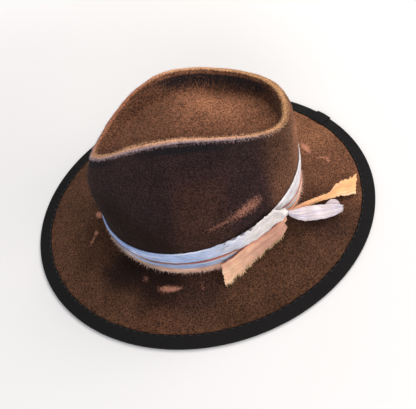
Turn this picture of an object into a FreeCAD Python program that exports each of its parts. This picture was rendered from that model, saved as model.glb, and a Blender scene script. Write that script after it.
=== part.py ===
import FreeCAD, Part
import math
import os

# Distressed teardrop-crown fedora in wool felt, with a bound brim and a band of torn cloth strips.
# Units are millimetres. +Z is up and z = 0 is the plane the brim rests on. The origin is the middle
# of the brim's outline. The front of the hat points to -Y and the wearer's left to +X.
# theta runs round the hat from the rear (+Y) towards the wearer's left (+X).

Vec = FreeCAD.Vector

# ---------------------------------------------------------------- driving dimensions
BRIM_LENGTH = 354.0         # over the binding, front to rear
BRIM_WIDTH = 314.8          # over the binding, side to side
FELT = 2.6                  # felt thickness
RIBBON = 0.6                # binding ribbon thickness
BINDING_WIDTH = 12.7        # a one-inch ribbon folded in half
GAP = 0.15                  # air between two pieces that only touch

CROWN_HALF_LENGTH = 99.7    # crown's oval at the brim, outside
CROWN_HALF_WIDTH = 86.8
CROWN_BACK = 2.7            # the crown's oval sits this far behind the brim's middle
FILLET = 5.0                # where the crown turns out into the brim

LAND = 4.0                  # flat land at the brim's edge that rests on the table
BRIM_CURVE = 20.0           # length over which the brim starts to rise
BRIM_SLOPE = 0.144          # slope of the brim inside that

BAND_TOP = 50.0             # height of the cloth band's upper edge at the hat's middle
BAND_TILT = 0.13            # the band rises towards the rear
STRAIGHT_BELOW_BAND_TOP = 3.7   # the crown's wall is upright to this far under the band's top

RIDGE_HALF_WIDTH = 52.8     # teardrop ridge, in plan
RIDGE_TAPER = 0.45
RIDGE_SIDE_WAVES = (3.2, 1.1, 0.95, 0.67)   # they straighten the ridge's sides and square off its rear
RIDGE_HALF_LENGTH = 89.5
RIDGE_BACK = 8.9
RIDGE_HEIGHT = 124.7        # mean height, then the waves of the arched ridge line
RIDGE_WAVES = (-4.0, -14.6, 3.6, 1.5, -0.6)
RIDGE_CORNER_PULL = 3.0     # the ridge's rear corner above the knot side is drawn in by this much
RIDGE_CORNER_ANGLE, RIDGE_CORNER_WIDTH = math.radians(16), math.radians(28)
RIDGE_RADIUS = 4.0
SHOULDER_ANGLE = math.radians(75)

DENT_WALL_ANGLE = math.radians(70)
DENT_FOOT_RADIUS = 6.0
DENT_SIDE_DEPTH = 21.0
DENT_TIP_DEPTH = 4.0
DENT_REAR_RELIEF = 4.0
DENT_DOME = 3.0

SWEATBAND = 0.9             # leather thickness
SWEATBAND_HEIGHT = 38.0
REED_RADIUS = 1.1

KNOT_ANGLE = math.radians(54)
KNOT_HEIGHT = 53.0

STATIONS = 72               # points round the hat

# ---------------------------------------------------------------- worked out from them
EDGE_HALF_LENGTH = BRIM_LENGTH / 2 - RIBBON - GAP
EDGE_HALF_WIDTH = BRIM_WIDTH / 2 - RIBBON - GAP
FELT_EDGE_TOP = RIBBON + GAP + FELT
BINDING_REACH = BINDING_WIDTH - RIBBON - GAP


def stations():
    """Angles once round the hat, starting and ending at the front."""
    return [math.pi + 2 * math.pi * i / STATIONS for i in range(STATIONS + 1)]


# ---------------------------------------------------------------- the felt's shape
def edge_point(theta):
    return Vec(EDGE_HALF_WIDTH * math.sin(theta), EDGE_HALF_LENGTH * math.cos(theta), 0)


def crown_oval(theta, off=0.0, z=0.0):
    """A point off the crown's oval by off, measured square to the oval."""
    s, c = math.sin(theta), math.cos(theta)
    nx, ny = s / CROWN_HALF_WIDTH, c / CROWN_HALF_LENGTH
    size = math.hypot(nx, ny)
    x = CROWN_HALF_WIDTH * s + off * nx / size
    y = CROWN_BACK + CROWN_HALF_LENGTH * c + off * ny / size
    return Vec(x, y, z)


def brim_rise(inset):
    """Height gained by the brim this far in from the felt's edge."""
    run = inset - LAND
    if run <= 0:
        return 0.0
    if run < BRIM_CURVE:
        return BRIM_SLOPE * run * run / (2 * BRIM_CURVE)
    return BRIM_SLOPE * (run - BRIM_CURVE / 2)


def brim_span(theta):
    """Distance from the felt's edge to the crown's oval."""
    return (crown_oval(theta) - edge_point(theta)).Length


def brim_point(theta, inset, lift=0.0):
    """A point of the brim, lift above its upper face."""
    edge = edge_point(theta)
    inward = crown_oval(theta) - edge
    inward.normalize()
    spot = edge + inward * inset
    return Vec(spot.x, spot.y, FELT_EDGE_TOP + brim_rise(inset) + lift)


def junction_height(theta):
    """Height of the brim's upper face where it meets the crown."""
    return FELT_EDGE_TOP + brim_rise(brim_span(theta))


def band_top(theta):
    return BAND_TOP + BAND_TILT * crown_oval(theta).y


def band_bottom(theta):
    """The band reaches the brim at the sides, rides up at the front and rear, and gathers at the knot."""
    lowest, lift, lowest_angle, gather = 14.0, 5.0, math.radians(110), 20.0
    lift_here = lift * (1 - math.cos(2 * (theta - lowest_angle)))
    return lowest + lift_here + gather * hump(theta, KNOT_ANGLE, math.radians(13))


def side_front_rear(theta, side, front, rear):
    """Blend a size between the hat's sides, front and rear."""
    s, c = math.sin(theta), math.cos(theta)
    return side * s * s + (rear if c > 0 else front) * c * c


def arch(eta):
    """Height of the ridge line; eta is -1 at the front tip and +1 at the rear."""
    angle = math.acos(max(-1.0, min(1.0, eta)))
    return RIDGE_HEIGHT + sum(size * math.cos((k + 1) * angle) for k, size in enumerate(RIDGE_WAVES))


def hump(theta, centre, width):
    """1 at an angle round the hat, falling smoothly to 0 on both sides of it."""
    return math.exp(-(math.remainder(theta - centre, 2 * math.pi) / width) ** 2)


def corner_pull(theta):
    return RIDGE_CORNER_PULL * hump(theta, RIDGE_CORNER_ANGLE, RIDGE_CORNER_WIDTH)


def ridge_point(theta):
    s, c = math.sin(theta), math.cos(theta)
    x = RIDGE_HALF_WIDTH * s * abs(math.cos(theta / 2)) ** RIDGE_TAPER
    x += sum(size * math.sin((k + 2) * theta) for k, size in enumerate(RIDGE_SIDE_WAVES))
    pull = corner_pull(theta)
    return Vec(x - pull * s, RIDGE_BACK + (RIDGE_HALF_LENGTH - pull) * c, arch(c))


def wall_start(theta):
    return crown_oval(theta, 0, band_top(theta) - STRAIGHT_BELOW_BAND_TOP)


def wall_point(theta, t):
    """The leaning part of the crown's wall, t = 0 at the band and t = 1 at the ridge's shoulder."""
    out = Vec(math.sin(theta), math.cos(theta), 0)
    up = Vec(0, 0, 1)
    foot = wall_start(theta)
    side_step = RIDGE_RADIUS * math.sin(SHOULDER_ANGLE)
    drop = RIDGE_RADIUS * (1 - math.cos(SHOULDER_ANGLE))
    shoulder = ridge_point(theta) + out * side_step - up * drop
    height = shoulder.z - foot.z
    low = foot + out * side_front_rear(theta, 1.1, -0.3, 1.6) + up * (0.40 * height)
    high = shoulder + out * (side_front_rear(theta, 2.4, 18.5, 0.2) + corner_pull(theta)) - up * (0.35 * height)
    a = (1 - t) ** 3
    b = 3 * (1 - t) ** 2 * t
    c = 3 * (1 - t) * t * t
    return foot * a + low * b + high * c + shoulder * t ** 3


def wall_lean(theta, z):
    """How far the wall's outer face stands outside the crown's oval at height z; inside is negative."""
    if z <= wall_start(theta).z:
        return 0.0
    low, high = 0.0, 1.0
    for _ in range(30):
        middle = (low + high) / 2
        if wall_point(theta, middle).z < z:
            low = middle
        else:
            high = middle
    wall, oval = wall_point(theta, low), crown_oval(theta)
    normal = crown_oval(theta, 1.0) - oval
    return (wall.x - oval.x) * normal.x + (wall.y - oval.y) * normal.y


def dent_depth(eta):
    """Depth of the dent's floor below the ridge line."""
    towards_tip = ((1 - eta) / 2) ** 4
    depth = DENT_TIP_DEPTH + (DENT_SIDE_DEPTH - DENT_TIP_DEPTH) * (1 - towards_tip)
    return depth - DENT_REAR_RELIEF * max(eta, 0) ** 3


def floor_height(x, y):
    eta = max(-1.0, min(1.0, (y - RIDGE_BACK) / RIDGE_HALF_LENGTH))
    dome = DENT_DOME * math.exp(-(x / 26) ** 2 - ((y - RIDGE_BACK) / 50) ** 2)
    return arch(eta) - dent_depth(eta) + dome


def dent_profile(depth):
    """(inset, drop) of the dent's wall: over the ridge, down the wall and round its foot."""
    cosine = max(math.cos(DENT_WALL_ANGLE), 1 - depth / (RIDGE_RADIUS + DENT_FOOT_RADIUS))
    angle = math.acos(cosine)
    crest = [(RIDGE_RADIUS * math.sin(a), RIDGE_RADIUS * (1 - math.cos(a))) for a in (angle / 2, angle)]
    top_inset, top_drop = crest[-1]
    straight = max(0.0, depth - (RIDGE_RADIUS + DENT_FOOT_RADIUS) * (1 - cosine))
    foot_inset = top_inset + straight / math.tan(angle) + DENT_FOOT_RADIUS * math.sin(angle)
    middle = (top_inset + (foot_inset - top_inset) * 0.4, top_drop + (depth - top_drop) * 0.55)
    half = angle / 2
    turn = (foot_inset - DENT_FOOT_RADIUS * math.sin(half), depth - DENT_FOOT_RADIUS * (1 - math.cos(half)))
    return crest + [middle, turn, (foot_inset, depth)]


def dent_points(theta):
    """The dent's points on one radius, from the ridge to a small flat at its middle."""
    ridge = ridge_point(theta)
    middle = Vec(0, 0, 0)
    ray = Vec(middle.x - ridge.x, middle.y - ridge.y, 0)
    reach = ray.Length
    ray.normalize()
    step = ridge_point(theta + 0.02) - ridge_point(theta - 0.02)
    along = Vec(step.x, step.y, 0)
    along.normalize()
    square = max(0.62, abs(ray.x * along.y - ray.y * along.x))
    depth = dent_depth(math.cos(theta))
    ridge_floor = ridge.z - floor_height(ridge.x, ridge.y)
    points = []
    last = 0.0
    for inset, drop in dent_profile(depth):
        last = min(inset / square, reach * 0.55)
        spot = ridge + ray * last
        floor = floor_height(spot.x, spot.y)
        points.append(Vec(spot.x, spot.y, floor + ridge_floor * (1 - drop / depth)))
    centre_height = floor_height(0, 0)
    for part, level in ((0.35, 0.0), (0.6, 0.0), (0.8, 0.3), (0.93, 1.0)):
        spot = ridge + ray * (last + (reach - last) * part)
        height = floor_height(spot.x, spot.y) * (1 - level) + centre_height * level
        points.append(Vec(spot.x, spot.y, height))
    return points


def felt_profile(theta):
    """The felt's outer face on one radius, from the brim's edge to the middle of the dent."""
    span = brim_span(theta)
    fractions = (0.0, 0.055, 0.12, 0.2, 0.32, 0.45, 0.6, 0.74, 0.86)
    points = [brim_point(theta, span * f) for f in fractions]
    points.append(brim_point(theta, span - FILLET))
    low = junction_height(theta)
    for angle in (math.radians(35), math.radians(65)):
        off = FILLET * (1 - math.sin(angle))
        points.append(crown_oval(theta, off, low + FILLET * (1 - math.cos(angle)) - 0.3))
    start = wall_start(theta)
    for part in (0.0, 0.33, 0.67, 1.0):
        points.append(crown_oval(theta, 0, low + FILLET + (start.z - low - FILLET) * part))
    points += [wall_point(theta, t) for t in (0.14, 0.28, 0.42, 0.56, 0.7, 0.85, 1.0)]
    out = Vec(math.sin(theta), math.cos(theta), 0)
    half = SHOULDER_ANGLE / 2
    ridge = ridge_point(theta)
    points.append(ridge + out * (RIDGE_RADIUS * math.sin(half)) - Vec(0, 0, RIDGE_RADIUS * (1 - math.cos(half))))
    points.append(ridge)
    return points + dent_points(theta)


# ---------------------------------------------------------------- solids from rings and grids
def sewn_solid(faces):
    shell = Part.Shell(faces)
    shell.sewShape()
    solid = Part.Solid(shell)
    if solid.Volume < 0:
        solid.reverse()
    return solid


def even_steps(rows):
    """Spline parameters for a list of rows, spaced by the mean distance from row to row."""
    marks = [0.0]
    for k in range(1, len(rows)):
        step = sum((b - a).Length for a, b in zip(rows[k - 1], rows[k])) / len(rows[k])
        marks.append(marks[-1] + step)
    return [mark / marks[-1] for mark in marks]


def spline(points, marks, closed):
    curve = Part.BSplineCurve()
    curve.interpolate(Points=points, Parameters=marks, PeriodicFlag=closed)
    return curve


def surface(rows, closed=False):
    """A smooth surface exactly through rows of points; closed rows repeat their first point."""
    if closed:
        across = [k / (len(rows[0]) - 1) for k in range(len(rows[0]))]
        curves = [spline(row[:-1], across, True) for row in rows]
    else:
        across = even_steps(list(zip(*rows)))
        curves = [spline(row, across, False) for row in rows]
    along = even_steps(rows)
    columns = [spline(list(column), along, False) for column in zip(*[curve.getPoles() for curve in curves])]
    poles = list(zip(*[column.getPoles() for column in columns]))
    made = Part.BSplineSurface()
    made.buildFromPolesMultsKnots(
        [list(row) for row in poles],
        columns[0].getMultiplicities(), curves[0].getMultiplicities(),
        columns[0].getKnots(), curves[0].getKnots(),
        False, closed, columns[0].Degree, curves[0].Degree)
    return made


def loop_edge(points):
    """A smooth closed edge through a ring of points whose last repeats its first."""
    curve = Part.BSplineCurve()
    curve.interpolate(Points=points[:-1], PeriodicFlag=True)
    return curve.toShape()


def ring_solid(outline, level_side=None):
    """Sweep a closed outline round the hat. outline(theta) gives its corners on one radius.
    The side that starts at corner level_side is made as one true plane."""
    columns = [outline(theta) for theta in stations()]
    corners = len(columns[0])
    loops = [loop_edge([column[k] for column in columns]) for k in range(corners)]
    faces = []
    for k in range(corners):
        pair = (loops[k], loops[(k + 1) % corners])
        if k == level_side:
            faces.append(Part.makeFace([Part.Wire([edge]) for edge in pair], "Part::FaceMakerBullseye"))
        else:
            faces.append(Part.makeRuledSurface(*pair).Faces[0])
    return sewn_solid(faces)


def sheet_solid(upper, lower):
    """A thick sheet between two grids of points."""
    top, bottom = surface(upper), surface(lower)
    faces = [top.toShape(), bottom.toShape()]
    for index in (0, 1):
        faces.append(Part.makeRuledSurface(side_edge(top, "u", index), side_edge(bottom, "u", index)))
        faces.append(Part.makeRuledSurface(side_edge(top, "v", index), side_edge(bottom, "v", index)))
    return sewn_solid([face for shape in faces for face in shape.Faces])


def side_edge(made, direction, index):
    u0, u1, v0, v1 = made.bounds()
    if direction == "u":
        return made.uIso((u0, u1)[index]).toShape()
    return made.vIso((v0, v1)[index]).toShape()


def offset_rings(rings, distance):
    """Move rings of points off their surface, towards its underside."""
    count = len(rings[0]) - 1
    moved = []
    for k, ring in enumerate(rings):
        before, after = rings[max(k - 1, 0)], rings[min(k + 1, len(rings) - 1)]
        row = []
        for j in range(count):
            along = ring[(j + 1) % count] - ring[(j - 1) % count]
            across = after[j] - before[j]
            normal = across.cross(along)
            if k == 0 or k == len(rings) - 1:
                normal = Vec(0, 0, 1)
            normal.normalize()
            row.append(ring[j] - normal * distance)
        moved.append(row + [row[0]])
    return moved


def sheet_between(edge_a, edge_b, thickness, arch_height=0.0, across=5):
    """A thick strip whose long edges follow two rows of points, bowed up by arch_height."""
    upper, lower = [], []
    last = len(edge_a) - 1
    for k in range(last + 1):
        a, b = edge_a[k], edge_b[k]
        along = (edge_a[min(k + 1, last)] + edge_b[min(k + 1, last)]) - (edge_a[max(k - 1, 0)] + edge_b[max(k - 1, 0)])
        normal = along.cross(b - a)
        normal.normalize()
        if normal.z < 0:
            normal = normal * -1
        row_up, row_down = [], []
        for j in range(across):
            part = j / (across - 1)
            bow = 4 * part * (1 - part) * arch_height
            spot = a + (b - a) * part + normal * bow
            row_up.append(spot + normal * (thickness / 2))
            row_down.append(spot - normal * (thickness / 2))
        upper.append(row_up)
        lower.append(row_down)
    return sheet_solid(upper, lower)


def stitch(start, end, width, height):
    """One straight stitch: a slim bar from start to end."""
    along = end - start
    length = along.Length
    bar = Part.makeBox(length, width, height, Vec(0, -width / 2, -height / 2))
    turn = FreeCAD.Rotation(Vec(1, 0, 0), along)
    bar.Placement = FreeCAD.Placement(start, turn)
    return bar


def blob(centre, radii, along, up):
    """An ellipsoid with its first radius along one direction and its third towards another."""
    ball = Part.makeSphere(1.0)
    along = Vec(along)
    along.normalize()
    side = Vec(up).cross(along)
    side.normalize()
    top = along.cross(side)
    turn = FreeCAD.Matrix(along.x, side.x, top.x, 0, along.y, side.y, top.y, 0, along.z, side.z, top.z, 0)
    size = FreeCAD.Matrix()
    size.scale(radii[0], radii[1], radii[2])
    shaped = ball.transformGeometry(turn.multiply(size))
    shaped.translate(centre)
    return shaped


# ---------------------------------------------------------------- the pieces
def felt_body():
    columns = [felt_profile(theta) for theta in stations()]
    rings = [[column[k] for column in columns] for k in range(len(columns[0]))]
    inner = offset_rings(rings, FELT)
    outside, inside = surface(rings, True), surface(inner, True)
    edge = Part.makeRuledSurface(side_edge(outside, "u", 0), side_edge(inside, "u", 0))
    faces = [outside.toShape(), inside.toShape()] + edge.Faces
    for skin in (outside, inside):
        faces.append(Part.Face(Part.Wire([side_edge(skin, "u", 1)])))
    return sewn_solid(faces)


def brim_binding():
    """A ribbon folded over the felt's edge; its underside is the flat land the hat rests on."""
    def outline(theta):
        top_lift = GAP + RIBBON
        under = -FELT - GAP
        points = [brim_point(theta, inset, top_lift) for inset in (BINDING_REACH, 6.0, 0.0)]
        out = -GAP - RIBBON
        points.append(brim_point(theta, out * 0.7, top_lift - 0.2))
        points.append(brim_point(theta, out, 0))
        points.append(brim_point(theta, out, -FELT))
        points.append(brim_point(theta, out * 0.7, under - RIBBON + 0.2))
        points += [brim_point(theta, inset, under - RIBBON) for inset in (0.0, LAND, BINDING_REACH)]
        points += [brim_point(theta, inset, under) for inset in (BINDING_REACH, LAND, -GAP)]
        points += [brim_point(theta, inset, GAP) for inset in (-GAP, 6.0, BINDING_REACH)]
        return points
    return ring_solid(outline, level_side=7)


def binding_lap():
    """The folded-under end of the ribbon, lapped over its start."""
    middle, half = math.radians(-25), math.radians(3.2)
    angles = [middle + half * (k - 3) / 3 for k in range(7)]
    insets = (BINDING_REACH + 0.3, 9.0, 6.0, 3.0, 0.0)
    clear = 2 * GAP + RIBBON
    lower = [[brim_point(t, inset, clear) for inset in insets] for t in angles]
    upper = [[brim_point(t, inset, clear + 2 * RIBBON) for inset in insets] for t in angles]
    return sheet_solid(upper, lower)


def binding_stitching():
    """Two rows of stitches near the binding's inner edge, one on each face of the brim."""
    bars = []
    count = 136
    inset = BINDING_REACH - 1.3
    above = GAP + RIBBON + 0.25
    below = -FELT - above
    for lift in (above, below):
        for k in range(count):
            theta = 2 * math.pi * k / count
            half = 2 * math.pi * 0.27 / count
            if abs(math.remainder(theta - math.radians(-25), 2 * math.pi)) < math.radians(4.5):
                continue
            start = brim_point(theta - half, inset, lift)
            end = brim_point(theta + half, inset, lift)
            bars.append(stitch(start, end, 0.45, 0.3))
    return Part.makeCompound(bars)


def band_point(theta, part, off):
    """A point of the cloth band; part is 0 at its lower edge and 1 at its upper edge. The lower strips bunch
    together behind the knot."""
    bunched = part ** (1 + hump(theta, math.radians(5), math.radians(45)))
    z = band_bottom(theta) + (band_top(theta) - band_bottom(theta)) * bunched
    return crown_oval(theta, off + max(wall_lean(theta, z), 0.0), z)


def band_strip(low, high, thick_low, thick_high, off_low=0.4):
    """One strip of the band between two parts of its height, rounded on its outer face."""
    off = 0.4

    def outline(theta):
        middle = (low + high) / 2
        bulge = max(thick_low, thick_high) + 0.3
        return [
            band_point(theta, low, off_low),
            band_point(theta, low, off_low + thick_low),
            band_point(theta, middle, off + bulge),
            band_point(theta, high, off + thick_high),
            band_point(theta, high, off),
            band_point(theta, middle, off),
        ]
    return ring_solid(outline)


def white_strip_upper():
    return band_strip(0.505, 1.0, 1.6, 0.9)


def peach_cord():
    return band_strip(0.435, 0.49, 1.5, 1.5)


def white_strip_lower():
    return band_strip(0.22, 0.42, 1.5, 1.7)


def peach_strip():
    return band_strip(0.0, 0.205, 1.4, 1.3, off_low=2.0)


def white_hitch():
    """The white strip's second turn over the band, running into the knot."""
    first, last = math.radians(84), math.radians(61)
    steps = 6
    upper, lower = [], []
    for k in range(steps + 1):
        spread = k / steps
        theta = first + (last - first) * spread
        low, high = 39.0 + 2.5 * spread, band_top(theta) + 0.5 + 3.0 * spread
        row_up, row_down = [], []
        for j in range(5):
            z = low + (high - low) * j / 4
            off = 3.3 + 0.7 * spread + max(wall_lean(theta, z), 0.0)
            row_down.append(crown_oval(theta, off, z))
            row_up.append(crown_oval(theta, off + 1.4 + 0.7 * math.sin(math.pi * j / 4), z))
        upper.append(row_up)
        lower.append(row_down)
    return sheet_solid(upper, lower)


def knot_frame():
    """Centre of the knot, the direction along the band towards the rear, and the way outward."""
    centre = crown_oval(KNOT_ANGLE, 8.0, KNOT_HEIGHT)
    step = crown_oval(KNOT_ANGLE - 0.02) - crown_oval(KNOT_ANGLE + 0.02)
    step.normalize()
    out = crown_oval(KNOT_ANGLE, 1.0) - crown_oval(KNOT_ANGLE)
    return centre, step, out


def white_knot():
    centre, along, out = knot_frame()
    return blob(centre, (5.0, 6.3, 4.6), along, out)


def peach_knot():
    centre, along, out = knot_frame()
    return blob(centre + Vec(0, 0, -10.6) - out * 0.6 - along * 0.5, (4.2, 3.6, 3.4), along, out)


def peach_tail_front():
    """Short wide end that hangs forward from the knot, along the crown and onto the brim."""
    upper_edge = [
        Vec(79.6, 58.5, 38.5), Vec(83.0, 50.0, 36.5), Vec(87.6, 34.5, 36.5),
        Vec(90.4, 19.5, 33.0), Vec(91.5, 9.0, 28.0), Vec(91.8, -0.5, 24.0),
    ]
    lower_edge = [
        Vec(79.5, 63.2, 29.0), Vec(81.5, 59.0, 23.5), Vec(87.0, 44.0, 18.5),
        Vec(94.5, 27.5, 15.5), Vec(101.5, 11.5, 13.6), Vec(106.8, -1.5, 12.6),
    ]
    return sheet_between(upper_edge, lower_edge, 1.2, 1.2)


def white_tail_rear():
    """Folded leaf-shaped end that points to the rear and comes down onto the brim."""
    inner_edge = [
        Vec(72.1, 72.8, 45.6), Vec(69.2, 76.0, 41.0), Vec(64.9, 83.4, 34.2), Vec(60.6, 92.6, 26.9),
        Vec(58.8, 102.0, 21.5), Vec(58.8, 110.0, 18.8), Vec(60.5, 118.5, 17.2), Vec(64.0, 126.0, 16.0),
    ]
    outer_edge = [
        Vec(74.3, 72.0, 44.0), Vec(74.6, 73.5, 38.0), Vec(75.0, 79.0, 29.5), Vec(74.8, 87.0, 22.6),
        Vec(73.4, 96.0, 18.6), Vec(72.2, 105.5, 16.6), Vec(71.3, 116.0, 15.2), Vec(69.0, 124.5, 14.6),
    ]
    return sheet_between(inner_edge, outer_edge, 1.5, 1.4)


def peach_tail_rear():
    """Longer torn end that points to the rear, thin at the knot and wide at its tip."""
    inner_edge = [
        Vec(65.4, 74.5, 37.6), Vec(56.9, 85.2, 28.0), Vec(51.8, 95.4, 22.3), Vec(48.8, 104.5, 18.8),
        Vec(46.6, 113.5, 16.8), Vec(44.0, 123.0, 15.8), Vec(38.4, 131.5, 15.2), Vec(35.4, 146.0, 14.0),
        Vec(31.8, 155.0, 12.8),
    ]
    outer_edge = [
        Vec(68.1, 76.0, 36.1), Vec(60.6, 85.8, 26.8), Vec(57.0, 93.0, 21.4), Vec(53.8, 101.0, 18.0),
        Vec(51.7, 110.0, 15.8), Vec(51.2, 120.2, 14.0), Vec(50.5, 130.5, 12.6), Vec(50.5, 139.0, 11.2),
        Vec(50.6, 146.4, 9.9),
    ]
    return sheet_between(inner_edge, outer_edge, 1.2, 0.6)


def band_tacks():
    """Hidden thread tacks over the band's upper edge."""
    bars = []
    count = 8
    for k in range(count):
        theta = math.radians(20) + 2 * math.pi * k / count
        inside, outside = band_point(theta, 1.03, 0.6), band_point(theta, 1.03, 2.2)
        bars.append(stitch(inside, outside, 0.6, 0.6))
    return Part.makeCompound(bars)


def sweat_point(theta, off, rise):
    """A point inside the crown, rise above the junction of brim and crown."""
    return crown_oval(theta, off, junction_height(theta) + rise)


def sweat_wall(theta, off, rise):
    """As sweat_point, but keeping clear of a crown wall that leans in."""
    lean = wall_lean(theta, junction_height(theta) + rise + 2.0)
    return sweat_point(theta, off + min(lean, 0.0), rise)


def sweatband():
    """Leather band whose lower edge is rolled round the reed."""
    roll_off, roll_rise = -4.4, -0.4
    outer, inner = REED_RADIUS + 0.12 + SWEATBAND, REED_RADIUS + 0.12
    turns = [math.radians(a) for a in (180, 210, 240, 270, 300, 330, 360, 390, 415)]

    def outline(theta):
        points = [
            sweat_wall(theta, -3.3 - SWEATBAND, SWEATBAND_HEIGHT),
            sweat_wall(theta, -3.5 - SWEATBAND, 29),
            sweat_wall(theta, -3.8 - SWEATBAND, 18),
        ]
        points += [sweat_point(theta, roll_off + outer * math.cos(a), roll_rise + outer * math.sin(a)) for a in turns]
        back = list(reversed(turns))
        points += [sweat_point(theta, roll_off + inner * math.cos(a), roll_rise + inner * math.sin(a)) for a in back]
        points.append(sweat_wall(theta, -3.8, 18))
        points.append(sweat_wall(theta, -3.5, 29))
        points.append(sweat_wall(theta, -3.3, SWEATBAND_HEIGHT))
        return points
    return ring_solid(outline)


def sweatband_reed():
    """Round plastic reed inside the sweatband's rolled edge."""
    turns = [2 * math.pi * k / 10 for k in range(10)]

    def outline(theta):
        return [sweat_point(theta, -4.4 + REED_RADIUS * math.cos(a), -0.4 + REED_RADIUS * math.sin(a)) for a in turns]
    return ring_solid(outline)


def sweatband_stitching():
    bars = []
    count = 110
    for k in range(count):
        theta = 2 * math.pi * (k + 0.5) / count
        half = 2 * math.pi * 0.27 / count
        start = sweat_point(theta - half, -6.35, 3.4)
        end = sweat_point(theta + half, -6.35, 3.4)
        bars.append(stitch(start, end, 0.35, 0.35))
    return Part.makeCompound(bars)


def sweatband_seam_tape():
    """Narrow tape over the sweatband's rear seam."""
    angles = [math.radians(a) for a in (-2.4, -0.8, 0.8, 2.4)]
    rises = (7.0, 13.0, 18.0, 27.0, 36.0)

    def face_off(rise):
        return -5.75 + 1.35 * (rise - 5.0) / (SWEATBAND_HEIGHT - 5.0)
    lower = [[sweat_point(t, face_off(r) - 0.35, r) for r in rises] for t in angles]
    upper = [[sweat_point(t, face_off(r) - 0.75, r) for r in rises] for t in angles]
    return sheet_solid(upper, lower)


def sweatband_bow():
    """Small ribbon bow at the rear, two flat loops and a centre."""
    centre = sweat_point(0, -8.2, 12.0)
    pieces = [blob(centre, (1.6, 1.9, 1.0), Vec(1, 0, 0), Vec(0, -1, 0))]
    for way in (-1, 1):
        loop = blob(centre + Vec(way * 6.4, -0.3, 0), (4.6, 3.0, 0.8), Vec(1, 0, 0.12 * way), Vec(0, -1, 0))
        pieces.append(loop)
    return Part.makeCompound(pieces)


PIECES = (
    felt_body, brim_binding, binding_lap, binding_stitching,
    white_strip_upper, peach_cord, white_strip_lower, peach_strip,
    white_hitch, white_knot, peach_knot,
    peach_tail_front, white_tail_rear, peach_tail_rear, band_tacks,
    sweatband, sweatband_reed, sweatband_stitching, sweatband_seam_tape, sweatband_bow,
)

os.makedirs("parts", exist_ok=True)
for piece in PIECES:
    shape = piece()
    print(piece.__name__, "solids", len(shape.Solids), "valid", shape.isValid(), "volume", round(shape.Volume, 1))
    shape.exportStep("parts/" + piece.__name__ + ".step")
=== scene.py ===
import math
import bpy
import numpy as np
from mathutils import Matrix, Vector


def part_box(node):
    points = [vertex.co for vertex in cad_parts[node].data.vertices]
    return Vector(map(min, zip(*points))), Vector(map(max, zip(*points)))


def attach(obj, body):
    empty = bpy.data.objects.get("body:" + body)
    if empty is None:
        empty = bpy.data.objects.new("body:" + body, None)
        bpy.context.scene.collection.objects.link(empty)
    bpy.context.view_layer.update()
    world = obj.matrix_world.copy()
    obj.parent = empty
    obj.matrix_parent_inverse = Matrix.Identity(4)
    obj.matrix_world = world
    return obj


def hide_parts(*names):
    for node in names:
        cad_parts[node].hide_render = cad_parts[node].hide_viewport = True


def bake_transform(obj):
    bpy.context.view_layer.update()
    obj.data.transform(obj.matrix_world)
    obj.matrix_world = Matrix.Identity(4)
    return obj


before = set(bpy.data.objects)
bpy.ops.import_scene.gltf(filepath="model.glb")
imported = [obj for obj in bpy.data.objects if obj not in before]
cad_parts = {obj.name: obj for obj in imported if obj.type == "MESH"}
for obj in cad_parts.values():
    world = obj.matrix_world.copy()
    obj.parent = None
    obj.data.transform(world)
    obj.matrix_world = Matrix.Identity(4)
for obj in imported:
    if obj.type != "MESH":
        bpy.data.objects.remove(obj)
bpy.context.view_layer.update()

# The looks of a distressed felt fedora with a bound brim and a band of torn cloth, round its CAD parts.
# Sizes are millimetres until a mesh is made. +Z is up, the front of the hat is -Y, the wearer's left is +X.
# theta runs round the hat from the rear (+Y) towards the wearer's left (+X).

UP = np.array([0.0, 0.0, 1.0])

# ---------------------------------------------------------------- sizes, the same as the CAD's
brim_low, brim_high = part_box("brim_binding")
BRIM_WIDTH, BRIM_LENGTH = [(brim_high[k] - brim_low[k]) * 1000 for k in (0, 1)]
FELT, RIBBON, GAP = 2.6, 0.6, 0.15
BINDING_REACH = 11.95
CROWN_HALF_LENGTH, CROWN_HALF_WIDTH, CROWN_BACK = 99.7, 86.8, 2.7
FILLET, LAND, BRIM_CURVE, BRIM_SLOPE = 5.0, 4.0, 20.0, 0.144
BAND_TOP, BAND_TILT, STRAIGHT_BELOW_BAND_TOP = 50.0, 0.13, 3.7
RIDGE_HALF_WIDTH, RIDGE_TAPER, RIDGE_SIDE_WAVES = 52.8, 0.45, (3.2, 1.1, 0.95, 0.67)
RIDGE_HALF_LENGTH, RIDGE_BACK, RIDGE_RADIUS = 89.5, 8.9, 4.0
RIDGE_HEIGHT, RIDGE_WAVES = 124.7, (-4.0, -14.6, 3.6, 1.5, -0.6)
RIDGE_CORNER_PULL, RIDGE_CORNER_ANGLE, RIDGE_CORNER_WIDTH = 3.0, math.radians(16), math.radians(28)
SHOULDER_ANGLE, DENT_WALL_ANGLE = math.radians(75), math.radians(70)
DENT_FOOT_RADIUS, DENT_SIDE_DEPTH, DENT_TIP_DEPTH, DENT_REAR_RELIEF, DENT_DOME = 6.0, 21.0, 4.0, 4.0, 3.0
BAND_LOW, BAND_LOW_WAVE, BAND_LOW_ANGLE = 14.0, 5.0, math.radians(110)
WALL_LOW_BULGE, WALL_HIGH_BULGE = (1.1, -0.3, 1.6), (2.4, 18.5, 0.2)    # at the sides, front and rear
KNOT_ANGLE, KNOT_HEIGHT, KNOT_GATHER, KNOT_GATHER_WIDTH = math.radians(54), 53.0, 20.0, math.radians(13)
LAP_ANGLE, LAP_HALF_TURN = math.radians(-25), math.radians(3.3)
HITCH_START, HITCH_END = math.radians(87), math.radians(54.8)
BINDING_STITCHES, SWEATBAND_STITCHES, TACKS = 136, 110, 8
STITCH_HALF_SHARE = 0.27    # half a stitch's length, as a share of the way from one stitch to the next

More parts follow.
